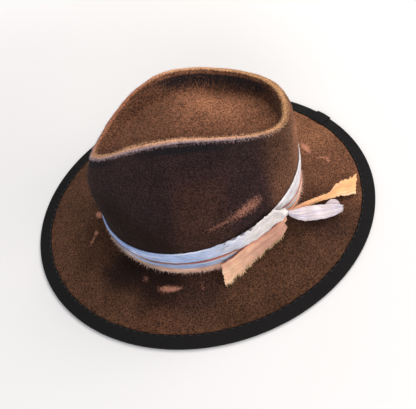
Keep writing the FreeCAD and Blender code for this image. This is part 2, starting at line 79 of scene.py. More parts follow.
EDGE_HALF_LENGTH = BRIM_LENGTH / 2 - RIBBON - GAP
EDGE_HALF_WIDTH = BRIM_WIDTH / 2 - RIBBON - GAP
FELT_EDGE_TOP = RIBBON + GAP + FELT

ROUND = 400           # mesh columns of the felt, once round the hat
STRIP_ROUND = 720     # the same for ribbons and cloth strips
FELT_ROWS = 150       # mesh rows from the brim's edge to the middle of the dent
FLUFF_FIBRES, NAP_FIBRES, FRINGE_THREADS = 8000, 14000, 2600


# ---------------------------------------------------------------- small number helpers
def xyz(x, y, z):
    return np.stack(np.broadcast_arrays(x, y, z), -1).astype(float)


def unit(vectors):
    return vectors / np.maximum(np.linalg.norm(vectors, axis=-1, keepdims=True), 1e-9)


def smooth(value, start, end):
    t = np.clip((value - start) / (end - start), 0, 1)
    return t * t * (3 - 2 * t)


def bump(value, centre, width):
    return np.exp(-((value - centre) / width) ** 2)


def turn_from(theta, centre):
    """Angle from centre to theta, the short way round."""
    return (theta - centre + math.pi) % (2 * math.pi) - math.pi


def linear(red, green, blue):
    """Linear colour from an 0 to 255 screen colour."""
    parts = [v / 255 for v in (red, green, blue)]
    return tuple(((v + 0.055) / 1.055) ** 2.4 if v > 10 / 255 else v / 12.92 for v in parts)


def mixed(first, second, share):
    """One colour, or the other where share is 1."""
    return np.asarray(first) * (1 - share) + np.asarray(second) * share


def ripple(points, wavelength, seed, count=9):
    """A smooth random field, about -1 to 1, with features of about the given wavelength."""
    rng = np.random.default_rng(seed)
    waves = unit(rng.normal(size=(count, 3))) * (2 * math.pi / wavelength)
    waves = waves * rng.uniform(0.6, 1.5, (count, 1))
    shift = rng.uniform(0, 2 * math.pi, count)
    return np.sin(np.asarray(points) @ waves.T + shift).sum(-1) / math.sqrt(count) * 0.8


def natural_spline(rows, marks, at):
    """A smooth curve through rows of points at marks, read at other places."""
    rows, marks, at = np.asarray(rows, float), np.asarray(marks, float), np.asarray(at, float)
    count = len(marks)
    gap = np.diff(marks)
    system, right = np.eye(count), np.zeros_like(rows)
    for k in range(1, count - 1):
        system[k, k - 1:k + 2] = gap[k - 1], 2 * (gap[k - 1] + gap[k]), gap[k]
        right[k] = 6 * ((rows[k + 1] - rows[k]) / gap[k] - (rows[k] - rows[k - 1]) / gap[k - 1])
    bend = np.linalg.solve(system, right.reshape(count, -1)).reshape(rows.shape)
    span = np.clip(np.searchsorted(marks, at) - 1, 0, count - 2)
    step = gap[span].reshape((-1,) + (1,) * (rows.ndim - 1))
    after = (at - marks[span]).reshape(step.shape) / step
    before = 1 - after
    cubic = (before ** 3 - before) * bend[span] + (after ** 3 - after) * bend[span + 1]
    return before * rows[span] + after * rows[span + 1] + cubic * step ** 2 / 6


def chord_marks(rows):
    """Distance along rows of points, averaged over their columns."""
    rows = np.asarray(rows, float)
    steps = np.linalg.norm(np.diff(rows, axis=0), axis=-1)
    if steps.ndim > 1:
        steps = steps.mean(1)
    return np.concatenate([[0], np.cumsum(steps)])


def column_reach(grid):
    """Distance from the first row down each column of a grid of points."""
    steps = np.linalg.norm(np.diff(grid, axis=0), axis=-1)
    return np.concatenate([np.zeros((1, steps.shape[1])), np.cumsum(steps, 0)])


# ---------------------------------------------------------------- the hat's shape, the same as the CAD's
def edge_point(theta):
    return xyz(EDGE_HALF_WIDTH * np.sin(theta), EDGE_HALF_LENGTH * np.cos(theta), 0)


def oval_normal(theta):
    return unit(xyz(np.sin(theta) / CROWN_HALF_WIDTH, np.cos(theta) / CROWN_HALF_LENGTH, 0))


def crown_oval(theta, off=0.0, z=0.0):
    foot = xyz(CROWN_HALF_WIDTH * np.sin(theta), CROWN_BACK + CROWN_HALF_LENGTH * np.cos(theta), 0)
    off, z = [np.asarray(value, float)[..., None] for value in (off, z)]
    return foot + oval_normal(theta) * off + UP * z


def brim_rise(inset):
    run = np.maximum(inset - LAND, 0)
    curved, straight = BRIM_SLOPE * run ** 2 / (2 * BRIM_CURVE), BRIM_SLOPE * (run - BRIM_CURVE / 2)
    return np.where(run < BRIM_CURVE, curved, straight)


def brim_span(theta):
    return np.linalg.norm(crown_oval(theta) - edge_point(theta), axis=-1)


def brim_point(theta, inset, lift=0.0):
    """A point of the brim, lift above its upper face."""
    inset = np.asarray(inset, float)
    inward = unit(crown_oval(theta) - edge_point(theta))
    spot = edge_point(theta) + inward * inset[..., None]
    return spot + UP * (FELT_EDGE_TOP + brim_rise(inset) + lift)[..., None]


def junction_height(theta):
    return FELT_EDGE_TOP + brim_rise(brim_span(theta))


def band_top(theta):
    return BAND_TOP + BAND_TILT * crown_oval(theta)[..., 1]


def band_bottom(theta):
    gather = KNOT_GATHER * hump(theta, KNOT_ANGLE, KNOT_GATHER_WIDTH)
    return BAND_LOW + BAND_LOW_WAVE * (1 - np.cos(2 * (theta - BAND_LOW_ANGLE))) + gather


def side_front_rear(theta, side, front, rear):
    c = np.cos(theta)
    return side * np.sin(theta) ** 2 + np.where(c > 0, rear, front) * c * c


def arch(eta):
    angle = np.arccos(np.clip(eta, -1, 1))
    return RIDGE_HEIGHT + sum(size * np.cos((k + 1) * angle) for k, size in enumerate(RIDGE_WAVES))


def hump(theta, centre, width):
    """1 at an angle round the hat, falling smoothly to 0 on both sides of it."""
    return bump(turn_from(theta, centre), 0, width)


def corner_pull(theta):
    return RIDGE_CORNER_PULL * hump(theta, RIDGE_CORNER_ANGLE, RIDGE_CORNER_WIDTH)


def ridge_point(theta):
    x = RIDGE_HALF_WIDTH * np.sin(theta) * np.abs(np.cos(theta / 2)) ** RIDGE_TAPER
    x = x + sum(size * np.sin((k + 2) * theta) for k, size in enumerate(RIDGE_SIDE_WAVES))
    pull = corner_pull(theta)
    y = RIDGE_BACK + (RIDGE_HALF_LENGTH - pull) * np.cos(theta)
    return xyz(x - pull * np.sin(theta), y, arch(np.cos(theta)))


def wall_start(theta):
    return crown_oval(theta, 0, band_top(theta) - STRAIGHT_BELOW_BAND_TOP)


def wall_point(theta, t):
    out = xyz(np.sin(theta), np.cos(theta), 0)
    foot = wall_start(theta)
    shoulder = ridge_point(theta) + out * (RIDGE_RADIUS * math.sin(SHOULDER_ANGLE))
    shoulder = shoulder - UP * (RIDGE_RADIUS * (1 - math.cos(SHOULDER_ANGLE)))
    height = (shoulder - foot)[..., 2:3]
    low = foot + out * side_front_rear(theta, *WALL_LOW_BULGE)[..., None] + UP * (0.40 * height)
    high = shoulder + out * (side_front_rear(theta, *WALL_HIGH_BULGE) + corner_pull(theta))[..., None]
    high = high - UP * (0.35 * height)
    t = np.asarray(t, float)[..., None]
    low_share, high_share = 3 * (1 - t) ** 2 * t, 3 * (1 - t) * t * t
    return foot * (1 - t) ** 3 + low * low_share + high * high_share + shoulder * t ** 3


def wall_lean(theta, z):
    """How far the wall stands outside the crown's oval at height z."""
    theta, z = np.broadcast_arrays(np.asarray(theta, float), np.asarray(z, float))
    low, high = np.zeros(theta.shape), np.ones(theta.shape)
    for _ in range(22):
        middle = (low + high) / 2
        below = wall_point(theta, middle)[..., 2] < z
        low, high = np.where(below, middle, low), np.where(below, high, middle)
    lean = ((wall_point(theta, low) - crown_oval(theta)) * oval_normal(theta)).sum(-1)
    return np.where(z > wall_start(theta)[..., 2], lean, 0.0)


def dent_depth(eta):
    towards_tip = ((1 - eta) / 2) ** 4
    depth = DENT_TIP_DEPTH + (DENT_SIDE_DEPTH - DENT_TIP_DEPTH) * (1 - towards_tip)
    return depth - DENT_REAR_RELIEF * np.maximum(eta, 0) ** 3


def floor_height(x, y):
    eta = np.clip((y - RIDGE_BACK) / RIDGE_HALF_LENGTH, -1, 1)
    dome = DENT_DOME * np.exp(-(x / 26) ** 2 - ((y - RIDGE_BACK) / 50) ** 2)
    return arch(eta) - dent_depth(eta) + dome


def dent_profile(depth):
    """(inset, drop) of the dent's wall: over the ridge, down the wall and round its foot."""
    cosine = np.maximum(math.cos(DENT_WALL_ANGLE), 1 - depth / (RIDGE_RADIUS + DENT_FOOT_RADIUS))
    angle = np.arccos(cosine)
    crest = [(RIDGE_RADIUS * np.sin(a), RIDGE_RADIUS * (1 - np.cos(a))) for a in (angle / 2, angle)]
    top_inset, top_drop = crest[-1]
    straight = np.maximum(0.0, depth - (RIDGE_RADIUS + DENT_FOOT_RADIUS) * (1 - cosine))
    foot_inset = top_inset + straight / np.tan(angle) + DENT_FOOT_RADIUS * np.sin(angle)
    middle = (top_inset + (foot_inset - top_inset) * 0.4, top_drop + (depth - top_drop) * 0.55)
    half = angle / 2
    turn = (foot_inset - DENT_FOOT_RADIUS * np.sin(half), depth - DENT_FOOT_RADIUS * (1 - np.cos(half)))
    return crest + [middle, turn, (foot_inset, depth)]


def dent_rows(theta):
    ridge = ridge_point(theta)
    flat = ridge * np.array([1, 1, 0])
    reach = np.linalg.norm(flat, axis=-1)
    ray = -unit(flat)
    along = unit((ridge_point(theta + 0.02) - ridge_point(theta - 0.02)) * np.array([1, 1, 0]))
    square = np.maximum(0.62, np.abs(ray[:, 0] * along[:, 1] - ray[:, 1] * along[:, 0]))
    depth = dent_depth(np.cos(theta))
    ridge_floor = ridge[:, 2] - floor_height(ridge[:, 0], ridge[:, 1])
    rows = []
    for inset, drop in dent_profile(depth):
        last = np.minimum(inset / square, reach * 0.55)
        spot = ridge + ray * last[:, None]
        floor = floor_height(spot[:, 0], spot[:, 1])
        rows.append(xyz(spot[:, 0], spot[:, 1], floor + ridge_floor * (1 - drop / depth)))
    centre_height = floor_height(0.0, 0.0)
    for part, level in ((0.35, 0.0), (0.6, 0.0), (0.8, 0.3), (0.93, 1.0)):
        spot = ridge + ray * (last + (reach - last) * part)[:, None]
        height = floor_height(spot[:, 0], spot[:, 1]) * (1 - level) + centre_height * level
        rows.append(xyz(spot[:, 0], spot[:, 1], height))
    return rows


def felt_rows(theta):
    """Rows of points on the felt's outer face, from brim edge to dent middle, and the ridge's row."""
    span = brim_span(theta)
    rows = [brim_point(theta, span * f) for f in (0.0, 0.055, 0.12, 0.2, 0.32, 0.45, 0.6, 0.74, 0.86)]
    rows.append(brim_point(theta, span - FILLET))
    low = junction_height(theta)
    for angle in (math.radians(35), math.radians(65)):
        off, rise = FILLET * (1 - math.sin(angle)), FILLET * (1 - math.cos(angle))
        rows.append(crown_oval(theta, off, low + rise - 0.3))
    start = wall_start(theta)[:, 2]
    for part in (0.0, 0.33, 0.67, 1.0):
        rows.append(crown_oval(theta, 0, low + FILLET + (start - low - FILLET) * part))
    rows += [wall_point(theta, np.full(theta.shape, t)) for t in (0.14, 0.28, 0.42, 0.56, 0.7, 0.85, 1.0)]
    out = xyz(np.sin(theta), np.cos(theta), 0)
    half = SHOULDER_ANGLE / 2
    ridge = ridge_point(theta)
    rows.append(ridge + out * (RIDGE_RADIUS * math.sin(half)) - UP * (RIDGE_RADIUS * (1 - math.cos(half))))
    rows.append(ridge)
    return np.array(rows + dent_rows(theta)), len(rows) - 1


# ---------------------------------------------------------------- meshes
def make_object(name, points, faces, material, body="hat"):
    """A smooth-shaded mesh object from millimetre points."""
    mesh = bpy.data.meshes.new(name)
    mesh.from_pydata((np.asarray(points) / 1000).tolist(), [], faces)
    mesh.polygons.foreach_set("use_smooth", [True] * len(mesh.polygons))
    mesh.materials.append(material)
    mesh.update()
    made = add_to_scene(name, mesh)
    if body:
        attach(made, body)
    return made


def add_to_scene(name, data):
    made = bpy.data.objects.new(name, data)
    bpy.context.scene.collection.objects.link(made)
    return made


def stands_for(node):
    """This piece takes a CAD node's place: the node is hidden."""
    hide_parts(node)


def add_values(made, name, kind, key, values):
    store = made.data.attributes.new(name, kind, "POINT")
    store.data.foreach_set(key, np.ravel(values).astype(np.float32))


def add_number(made, name, values):
    add_values(made, name, "FLOAT", "value", values)


def add_place(made, name, values):
    add_values(made, name, "FLOAT_VECTOR", "vector", values)


def add_colour(made, name, values):
    values = np.asarray(values, np.float32).reshape(-1, 3)
    opaque = np.ones((len(values), 1), np.float32)
    add_values(made, name, "FLOAT_COLOR", "color", np.concatenate([values, opaque], 1))


def grid_faces(rows, columns, start=0, wrap_rows=False, wrap_columns=False, flip=False):
    """Quads of a grid of points stored row by row."""
    i = np.arange(rows if wrap_rows else rows - 1)[:, None]
    j = np.arange(columns if wrap_columns else columns - 1)[None, :]
    a, b = i * columns + j, i * columns + (j + 1) % columns
    c, d = (i + 1) % rows * columns + (j + 1) % columns, (i + 1) % rows * columns + j
    quads = np.stack(np.broadcast_arrays(a, b, c, d), -1).reshape(-1, 4) + start
    return (quads[:, ::-1] if flip else quads).tolist()


def grid_normals(grid, wrap_columns=False):
    """Unit normals of a grid of points."""
    down = np.gradient(grid, axis=0)
    across = np.roll(grid, -1, 1) - np.roll(grid, 1, 1) if wrap_columns else np.gradient(grid, axis=1)
    return unit(np.cross(down, across))


def ring_object(name, section, material):
    """A closed section swept round the hat: section is (corner, column, xyz)."""
    corners, columns = section.shape[:2]
    faces = grid_faces(corners, columns, wrap_rows=True, wrap_columns=True)
    return make_object(name, section.reshape(-1, 3), faces, material)


def sheet_mesh(grid, thickness, start):
    """Points, faces and weave places of a cloth sheet; grid is (row, column, xyz) of its middle surface."""
    rows, columns = grid.shape[:2]
    normals = grid_normals(grid)
    half = np.full((rows, columns, 1), thickness / 2)
    half[[0, -1]] *= 0.6
    half[:, [0, -1]] *= 0.6
    points = np.concatenate([(grid + way * normals * half).reshape(-1, 3) for way in (1, -1)])
    size = rows * columns
    faces = grid_faces(rows, columns, start, flip=True) + grid_faces(rows, columns, start + size)
    rim = list(range(columns)) + [r * columns + columns - 1 for r in range(1, rows)]
    rim += [(rows - 1) * columns + c for c in range(columns - 2, -1, -1)]
    rim += [r * columns for r in range(rows - 2, 0, -1)]
    for a, b in zip(rim, rim[1:] + rim[:1]):
        faces.append([start + k for k in (a, b, b + size, a + size)])
    along = chord_marks(grid)[:, None] + np.zeros((1, columns))
    side = chord_marks(grid.transpose(1, 0, 2))[None, :] + np.zeros((rows, 1))
    return points, faces, np.tile(xyz(along, side, 0).reshape(-1, 3), (2, 1))


def sheet_object(name, grids, thickness, material, body="hat"):
    """One piece of cloth made of one or more sheets with thickness."""
    points, faces, weave = [], [], []
    for grid in grids:
        made = sheet_mesh(grid, thickness, sum(len(p) for p in points))
        points.append(made[0])
        faces += made[1]
        weave.append(made[2])
    cloth = make_object(name, np.concatenate(points), faces, material, body)
    add_place(cloth, "weave", np.concatenate(weave))
    return cloth


def paint_sheet(cloth, tint):
    """Colour both faces of a single sheet; tint is (row, column, colour)."""
    add_colour(cloth, "paint", np.tile(tint.reshape(-1, 3), (2, 1)))


def strands(name, paths, width, colours, material, body="hat"):
    """Thin tapering fibres; paths is (fibre, step, xyz) and each fibre has one colour."""
    count, steps = paths.shape[:2]
    along = unit(paths[:, -1] - paths[:, 0])
    side = unit(np.cross(along, np.roll(along, 1, -1) + np.array([0.3, -0.2, 0.5])))
    other = np.cross(along, side)
    layers = []
    for k in range(steps - 1):
        size = width * (1 - 0.8 * k / (steps - 1))
        for angle in (0, 2.1, 4.2):
            layers.append(paths[:, k] + (side * math.cos(angle) + other * math.sin(angle)) * size)
    layers.append(paths[:, -1])
    points = np.stack(layers, 1)
    each, last = points.shape[1], 3 * (steps - 2)
    pattern = [[0, 2, 1]]
    for k in range(0, last, 3):
        pattern += [[k + j, k + (j + 1) % 3, k + 3 + (j + 1) % 3, k + 3 + j] for j in range(3)]
    pattern += [[last + j, last + (j + 1) % 3, last + 3] for j in range(3)]
    faces = [[index + each * fibre for index in face] for fibre in range(count) for face in pattern]
    made = make_object(name, points.reshape(-1, 3), faces, material, body)
    add_colour(made, "paint", np.repeat(colours, each, 0))
    return made


def stitches(name, starts, ends, outward, radius, material):
    """Short rounded stitches, each bowed outward with both ends sunk into the cloth."""
    steps, sides = 7, 8
    along = unit(ends - starts)
    side = unit(np.cross(along, outward))
    up = np.cross(side, along)
    points = []
    for k in range(steps):
        part = k / (steps - 1)
        swell = math.sin(math.pi * (0.06 + 0.88 * part))
        centre = starts + (ends - starts) * part + up * (radius * (1.4 * swell - 0.8))
        for j in range(sides):
            angle = 2 * math.pi * j / sides
            ring = side * math.cos(angle) + up * math.sin(angle)
            points.append(centre + ring * radius * (0.25 + 0.75 * swell))
    points = np.stack(points, 1)
    each = steps * sides
    pattern = grid_faces(steps, sides, wrap_columns=True)
    pattern += [list(range(sides))[::-1], list(range(each - sides, each))]
    faces = [[index + each * k for index in face] for k in range(len(starts)) for face in pattern]
    return make_object(name, points.reshape(-1, 3), faces, material)


def bundle(name, centre, along, outward, radii, creases, material, seed):
    """A tight lump of wrapped cloth, creased where the wraps turn in towards both of its ends."""
    side = unit(np.cross(outward, along))
    rows, columns = 40, 56
    across = np.linspace(0.02, math.pi - 0.02, rows)[:, None]
    round_it = np.linspace(0, 2 * math.pi, columns, endpoint=False)[None, :]
    wave = np.cos(creases * round_it + 2.2 * np.cos(across)) * np.sin(across) ** 0.5
    size = 1 + 0.07 * np.sign(wave) * np.abs(wave) ** 0.6 - 0.10 * bump(np.cos(across), 0.1, 0.12)
    ball = xyz(np.cos(across), np.sin(across) * np.cos(round_it), np.sin(across) * np.sin(round_it))
    size = size + 0.05 * ripple(ball * 10, 9, seed)
    spot = ball * size[..., None] * np.array(radii)
    grid = centre + spot[..., 0:1] * along + spot[..., 1:2] * side + spot[..., 2:3] * outward
    faces = grid_faces(rows, columns, wrap_columns=True, flip=True)
    faces += [list(range(columns)), list(range((rows - 1) * columns, rows * columns))[::-1]]
    made = make_object(name, grid.reshape(-1, 3), faces, material)
    add_place(made, "weave", xyz(across * radii[0] * 2, round_it * radii[1] * 1.5, 0))
    return made


# ---------------------------------------------------------------- materials
class Shader:
    """One node material. Each method adds a node and returns its output, so a look reads as a chain."""

    def __init__(self, name, roughness, sheen=0.0, sheen_tint=(1, 1, 1), shine=0.1):
        self.material = bpy.data.materials.new(name)
        self.material.use_nodes = True
        self.tree = self.material.node_tree
        self.surface = self.tree.nodes["Principled BSDF"]
        self.surface.inputs["Roughness"].default_value = roughness
        self.surface.inputs["Sheen Weight"].default_value = sheen
        self.surface.inputs["Sheen Roughness"].default_value = 0.6
        self.surface.inputs["Sheen Tint"].default_value = (*sheen_tint, 1)
        self.surface.inputs["Specular IOR Level"].default_value = shine

    def add(self, kind, output, settings, *inputs):
        made = self.tree.nodes.new("ShaderNode" + kind)
        for key, value in settings.items():
            setattr(made, key, value)
        for key, value in inputs:
            self.plug(value, made.inputs[key])
        return made.outputs[output]

    def plug(self, value, socket):
        if isinstance(value, bpy.types.NodeSocket):
            self.tree.links.new(value, socket)
        elif isinstance(value, tuple) and len(value) == 3 and socket.type == "RGBA":
            socket.default_value = (*value, 1)
        else:
            socket.default_value = value

    def number(self, name):
        return self.add("Attribute", "Fac", {"attribute_name": name})

    def colour(self, name):
        return self.add("Attribute", "Color", {"attribute_name": name})

    def place(self, name=None, stretch=(1, 1, 1)):
        """Millimetre coordinates: the object's own, or those of a stored attribute."""
        if name:
            source, scale = self.add("Attribute", "Vector", {"attribute_name": name}), stretch
        else:
            source, scale = self.add("TexCoord", "Object", {}), tuple(1000 * k for k in stretch)
        return self.add("VectorMath", 0, {"operation": "MULTIPLY"}, (0, source), (1, scale))

    def noise(self, place, size, detail=2.0, roughness=0.5):
        """Noise between 0 and 1 with features of about size millimetres."""
        return self.add("TexNoise", "Fac", {}, ("Vector", place), ("Scale", 1 / size), ("Detail", detail),
                        ("Roughness", roughness))

    def math(self, operation, a, b=0.0):
        return self.add("Math", 0, {"operation": operation}, (0, a), (1, b))

    def threads(self, place, axis, spacing):
        """Rounded threads side by side along one axis of the weave, 0 to 1."""
        parts = self.add("SeparateXYZ", axis, {}, (0, place))
        return self.math("ABSOLUTE", self.math("SINE", self.math("MULTIPLY", parts, math.pi / spacing)))

    def rough(self, name, noise, depth):
        """A stored number whose edge is broken up by noise."""
        spread = self.math("MULTIPLY", self.math("SUBTRACT", noise, 0.5), depth)
        return self.math("ADD", self.number(name), spread)

    def ramp(self, value, low, high, out_low=0.0, out_high=1.0):
        ends = ("From Min", low), ("From Max", high), ("To Min", out_low), ("To Max", out_high)
        return self.add("MapRange", 0, {"interpolation_type": "SMOOTHSTEP"}, ("Value", value), *ends)

    def mix(self, factor, a, b, blend="MIX"):
        return self.add("Mix", 2, {"data_type": "RGBA", "blend_type": blend}, (0, factor), (6, a), (7, b))

    def shade(self, colour, amount):
        """Multiply a colour by a number."""
        return self.add("VectorMath", 0, {"operation": "SCALE"}, (0, colour), (3, amount))

    def finish(self, colour, heights, roughness=None):
        """heights is a list of (height, depth in millimetres), added up as bumps."""
        self.plug(colour, self.surface.inputs["Base Color"])
        if roughness is not None:
            self.plug(roughness, self.surface.inputs["Roughness"])
        normal = None
        for height, depth in heights:
            inputs = [("Height", height), ("Distance", depth / 1000)]
            if normal:
                inputs.append(("Normal", normal))
            normal = self.add("Bump", 0, {}, *inputs)
        self.plug(normal, self.surface.inputs["Normal"])
        return self.material


def felt_material():
    """Dyed wool felt: flecked nap, burnt streaks that also carry painted shade, and fibres worn pale where
    hands and weather rub, with a painted highlight over the ridge.
    """
    look = Shader("wool_felt", 1.0, 0.02, (0.9, 0.75, 0.65))
    place = look.place()
    mottle = look.noise(place, 14, 4, 0.6)
    grain = look.noise(place, 1.5, 3, 0.75)
    fleck = look.noise(place, 0.8, 2, 0.6)
    nap = look.noise(look.place("nap", (1.6, 0.28, 1)), 1.0, 3, 0.6)
    base = look.shade(look.colour("paint"), look.ramp(mottle, 0.25, 0.75, 0.8, 1.2))
    base = look.shade(base, look.ramp(grain, 0.36, 0.66, 0.3, 2.0))
    # painted shade together with scorched dye: darkens the felt under the near ridge and down the far wall
    # of the hollow
    base = look.mix(look.ramp(look.rough("scorch_and_shade", nap, 1.3), 0.3, 0.8), base, SCORCH_AND_SHADE)
    crest = look.shade(look.colour("crest"), look.ramp(grain, 0.35, 0.65, 0.5, 1.35))
    # painted highlight together with rubbed wear: the pale band over the ridge
    base = look.mix(look.ramp(look.rough("worn", nap, 2.2), 0.35, 0.8), base, crest)
    base = look.mix(look.ramp(look.rough("scuff", grain, 1.5), 0.3, 1.0, 0.0, 0.75), base, SCUFFED)
    pale_fibre = look.shade(look.colour("paint"), 3.4)
    base = look.mix(look.ramp(fleck, 0.58, 0.74, 0.0, 0.62), base, pale_fibre)
    return look.finish(base, [(mottle, 1.2), (grain, 0.5), (nap, 0.25)])


def fibre_material():
    look = Shader("wool_fibre", 0.9, 0.2)
    shade = look.ramp(look.noise(look.place(), 2.0, 1), 0.3, 0.7, 0.8, 1.2)
    return look.finish(look.shade(look.colour("paint"), shade), [(look.noise(look.place(), 0.3), 0.02)])


def grosgrain_material():
    """Black ribbon with close ribs across it and a little lint."""
    look = Shader("grosgrain", 0.7, shine=0.08)
    weave = look.place("weave")
    ribs = look.threads(weave, 0, 0.85)
    cloudy = look.noise(look.place(), 9, 3)
    fuzz = look.noise(look.place(), 0.7, 2, 0.7)
    base = look.shade(look.mix(cloudy, BLACK_LOW, BLACK_HIGH), look.ramp(ribs, 0.0, 1.0, 0.5, 1.25))
    lint = look.math("MULTIPLY", look.ramp(fuzz, 0.7, 0.8), look.ramp(cloudy, 0.5, 0.68))
    base = look.mix(look.math("MULTIPLY", lint, 0.45), base, LINT)
    return look.finish(base, [(ribs, 0.16), (cloudy, 0.5)], look.ramp(cloudy, 0.3, 0.7, 0.52, 0.75))


def muslin_material(name, fold_shade, fold_highlight):
    """Thin plain-woven cotton, softly creased, with painted shade and painted highlights in streaks along
    its folds, and a little see-through.
    """
    look = Shader(name, 0.85, 0.15)
    weave = look.place("weave")
    warp, weft = look.threads(weave, 0, 0.42), look.threads(weave, 1, 0.42)
    slub = look.noise(look.place("weave", (0.12, 1.4, 1)), 1.0, 2)
    crease = look.noise(look.place("weave", (0.18, 0.7, 1)), 2.2, 3, 0.6)
    blotch = look.noise(look.place(), 11, 3)
    base = look.shade(look.colour("paint"), look.ramp(blotch, 0.3, 0.7, 0.84, 1.12))
    base = look.shade(base, look.ramp(look.math("MULTIPLY", warp, weft), 0.0, 0.9, 0.82, 1.03))
    base = look.shade(base, look.ramp(slub, 0.3, 0.7, 0.93, 1.05))
    fold = look.noise(look.place("weave", (0.03, 1.3, 1)), 1.6, 3, 0.6)
    # painted shade in the streaks of the folds
    base = look.mix(look.ramp(fold, 0.50, 0.66, 0.0, 0.6), base, fold_shade)
    # painted highlight along the streaks of the pleats
    base = look.mix(look.ramp(fold, 0.47, 0.36, 0.0, 0.6), base, fold_highlight)
    look.surface.inputs["Subsurface Weight"].default_value = 0.12
    look.surface.inputs["Subsurface Radius"].default_value = (0.002, 0.0015, 0.001)
    look.surface.inputs["Subsurface Scale"].default_value = 1.0
    return look.finish(base, [(crease, 0.9), (look.math("ADD", warp, weft), 0.08), (slub, 0.1)])


def thread_material(name, colour):
    look = Shader(name, 0.6, 0.2)
    twist = look.noise(look.place(stretch=(1, 1, 2)), 0.35, 2)
    return look.finish(look.shade(colour, look.ramp(twist, 0.3, 0.7, 0.7, 1.2)), [(twist, 0.08)])


def leather_material():
    """Brown sweatband leather: fine grain, creases and darker wear."""
    look = Shader("sweatband_leather", 0.5, shine=0.4)
    place = look.place()
    pores = look.add("TexVoronoi", "Distance", {}, ("Vector", place), ("Scale", 1 / 1.1))
    crease = look.noise(look.place(stretch=(1, 1, 0.3)), 7, 4, 0.6)
    worn = look.noise(place, 24, 3)
    base = look.mix(look.ramp(worn, 0.3, 0.7), linear(92, 60, 40), linear(128, 86, 58))
    base = look.shade(base, look.ramp(pores, 0.0, 0.6, 0.75, 1.05))
    return look.finish(base, [(pores, 0.12), (crease, 0.5)], look.ramp(worn, 0.3, 0.7, 0.42, 0.65))


def reed_material():
    look = Shader("reed_plastic", 0.35, shine=0.5)
    drawn = look.noise(look.place(stretch=(1, 1, 3)), 3, 2)
    base = look.mix(look.ramp(drawn, 0.3, 0.7), linear(188, 180, 164), linear(214, 208, 194))
    return look.finish(base, [(drawn, 0.05)])


def floor_material():
    """A pale sweep that stays evenly bright away from the lamps."""
    look = Shader("pale_floor", 0.9)
    soft = look.noise(look.place(), 260, 2)
    base = look.mix(soft, (0.595, 0.58, 0.575), (0.605, 0.59, 0.585))
    distance = look.add("VectorMath", "Value", {"operation": "LENGTH"}, (0, look.place()))
    look.plug((1.0, 0.99, 0.98), look.surface.inputs["Emission Color"])
    look.plug(look.ramp(distance, 180, 1500, 0.0, 0.78), look.surface.inputs["Emission Strength"])
    return look.finish(base, [(look.noise(look.place(), 40, 2), 0.02)])


# ---------------------------------------------------------------- colours, as they look in soft daylight
# scorched dye together with painted shade, under the near ridge and in the hollow
SCORCH_AND_SHADE = linear(20, 17, 19)
SCUFFED = linear(178, 120, 98)
LINT = linear(120, 105, 95)
BLACK_LOW, BLACK_HIGH = linear(12, 11, 11), linear(22, 20, 20)
# white cloth: its warm lit colour, and bluish painted shade for the front and left
WHITE_PAINTED_SHADE, WHITE_LIGHT, WHITE_FRONT_PAINTED_SHADE = linear(168, 184, 218), linear(224, 215, 214), linear(130, 154, 206)
PEACH_BAND, PEACH_END, ORANGE_END = linear(208, 164, 142), linear(230, 176, 144), linear(236, 171, 114)
UNDER_FELT = linear(84, 57, 43)

# The felt's colour, dark to light: a colour and the places where it lies. It is partly the dye and partly
# painted shade, darkest round the crown's foot on the near side, up the near wall and under the white end.
# Between places the colours blend.
PATCH_REACH, PATCH_SPILL = 17, 30    # how far a place's colour goes, and how far a trace of it goes
FELT_DYE_AND_SHADE = (
    ((22, 10, 7), ((95, -63, 8), (63, -92, 10), (68, -55, 59), (35, -86, 62))),
    ((33, 21, 22), ((27, -71, 105), (43, -34, 120), (58, -45, 88), (52, 8, 123), (53, 48, 107),
                    (73, 39, 80))),
    ((46, 28, 22), ((111, -29, 8), (68, -2, 93), (82, -10, 66), (-45, -60, 80), (75, 110, 6))),
    ((55, 34, 22), ((27, -113, 10), (141, 0, 4), (133, 41, 4), (-16, 79, 97))),
    ((64, 41, 28), ((8, -155, 5), (64, -134, 5), (96, -103, 5), (138, -35, 4), (112, 20, 8), (88, 76, 8),
                    (118, 75, 5), (101, 105, 5), (71, 137, 4), (44, 76, 98), (-60, 60, 80), (-95, -125, 5))),
    ((71, 44, 30), ((122, -69, 5), (-140, 0, 5), (-26, -30, 123), (-34, 59, 106))),
    ((86, 55, 39), ((44, 152, 4), (4, 156, 4), (-105, 95, 5), (9, 17, 119), (10, 60, 102), (-31, -2, 120),
                    (1, -26, 123), (-14, -52, 119), (-4, 76, 98), (55, 80, 67))),
    ((104, 68, 47), ((-50, 140, 5),)),
    ((122, 80, 57), ((-11, 21, 117), (-10, 56, 104), (20, 96, 80))),
)

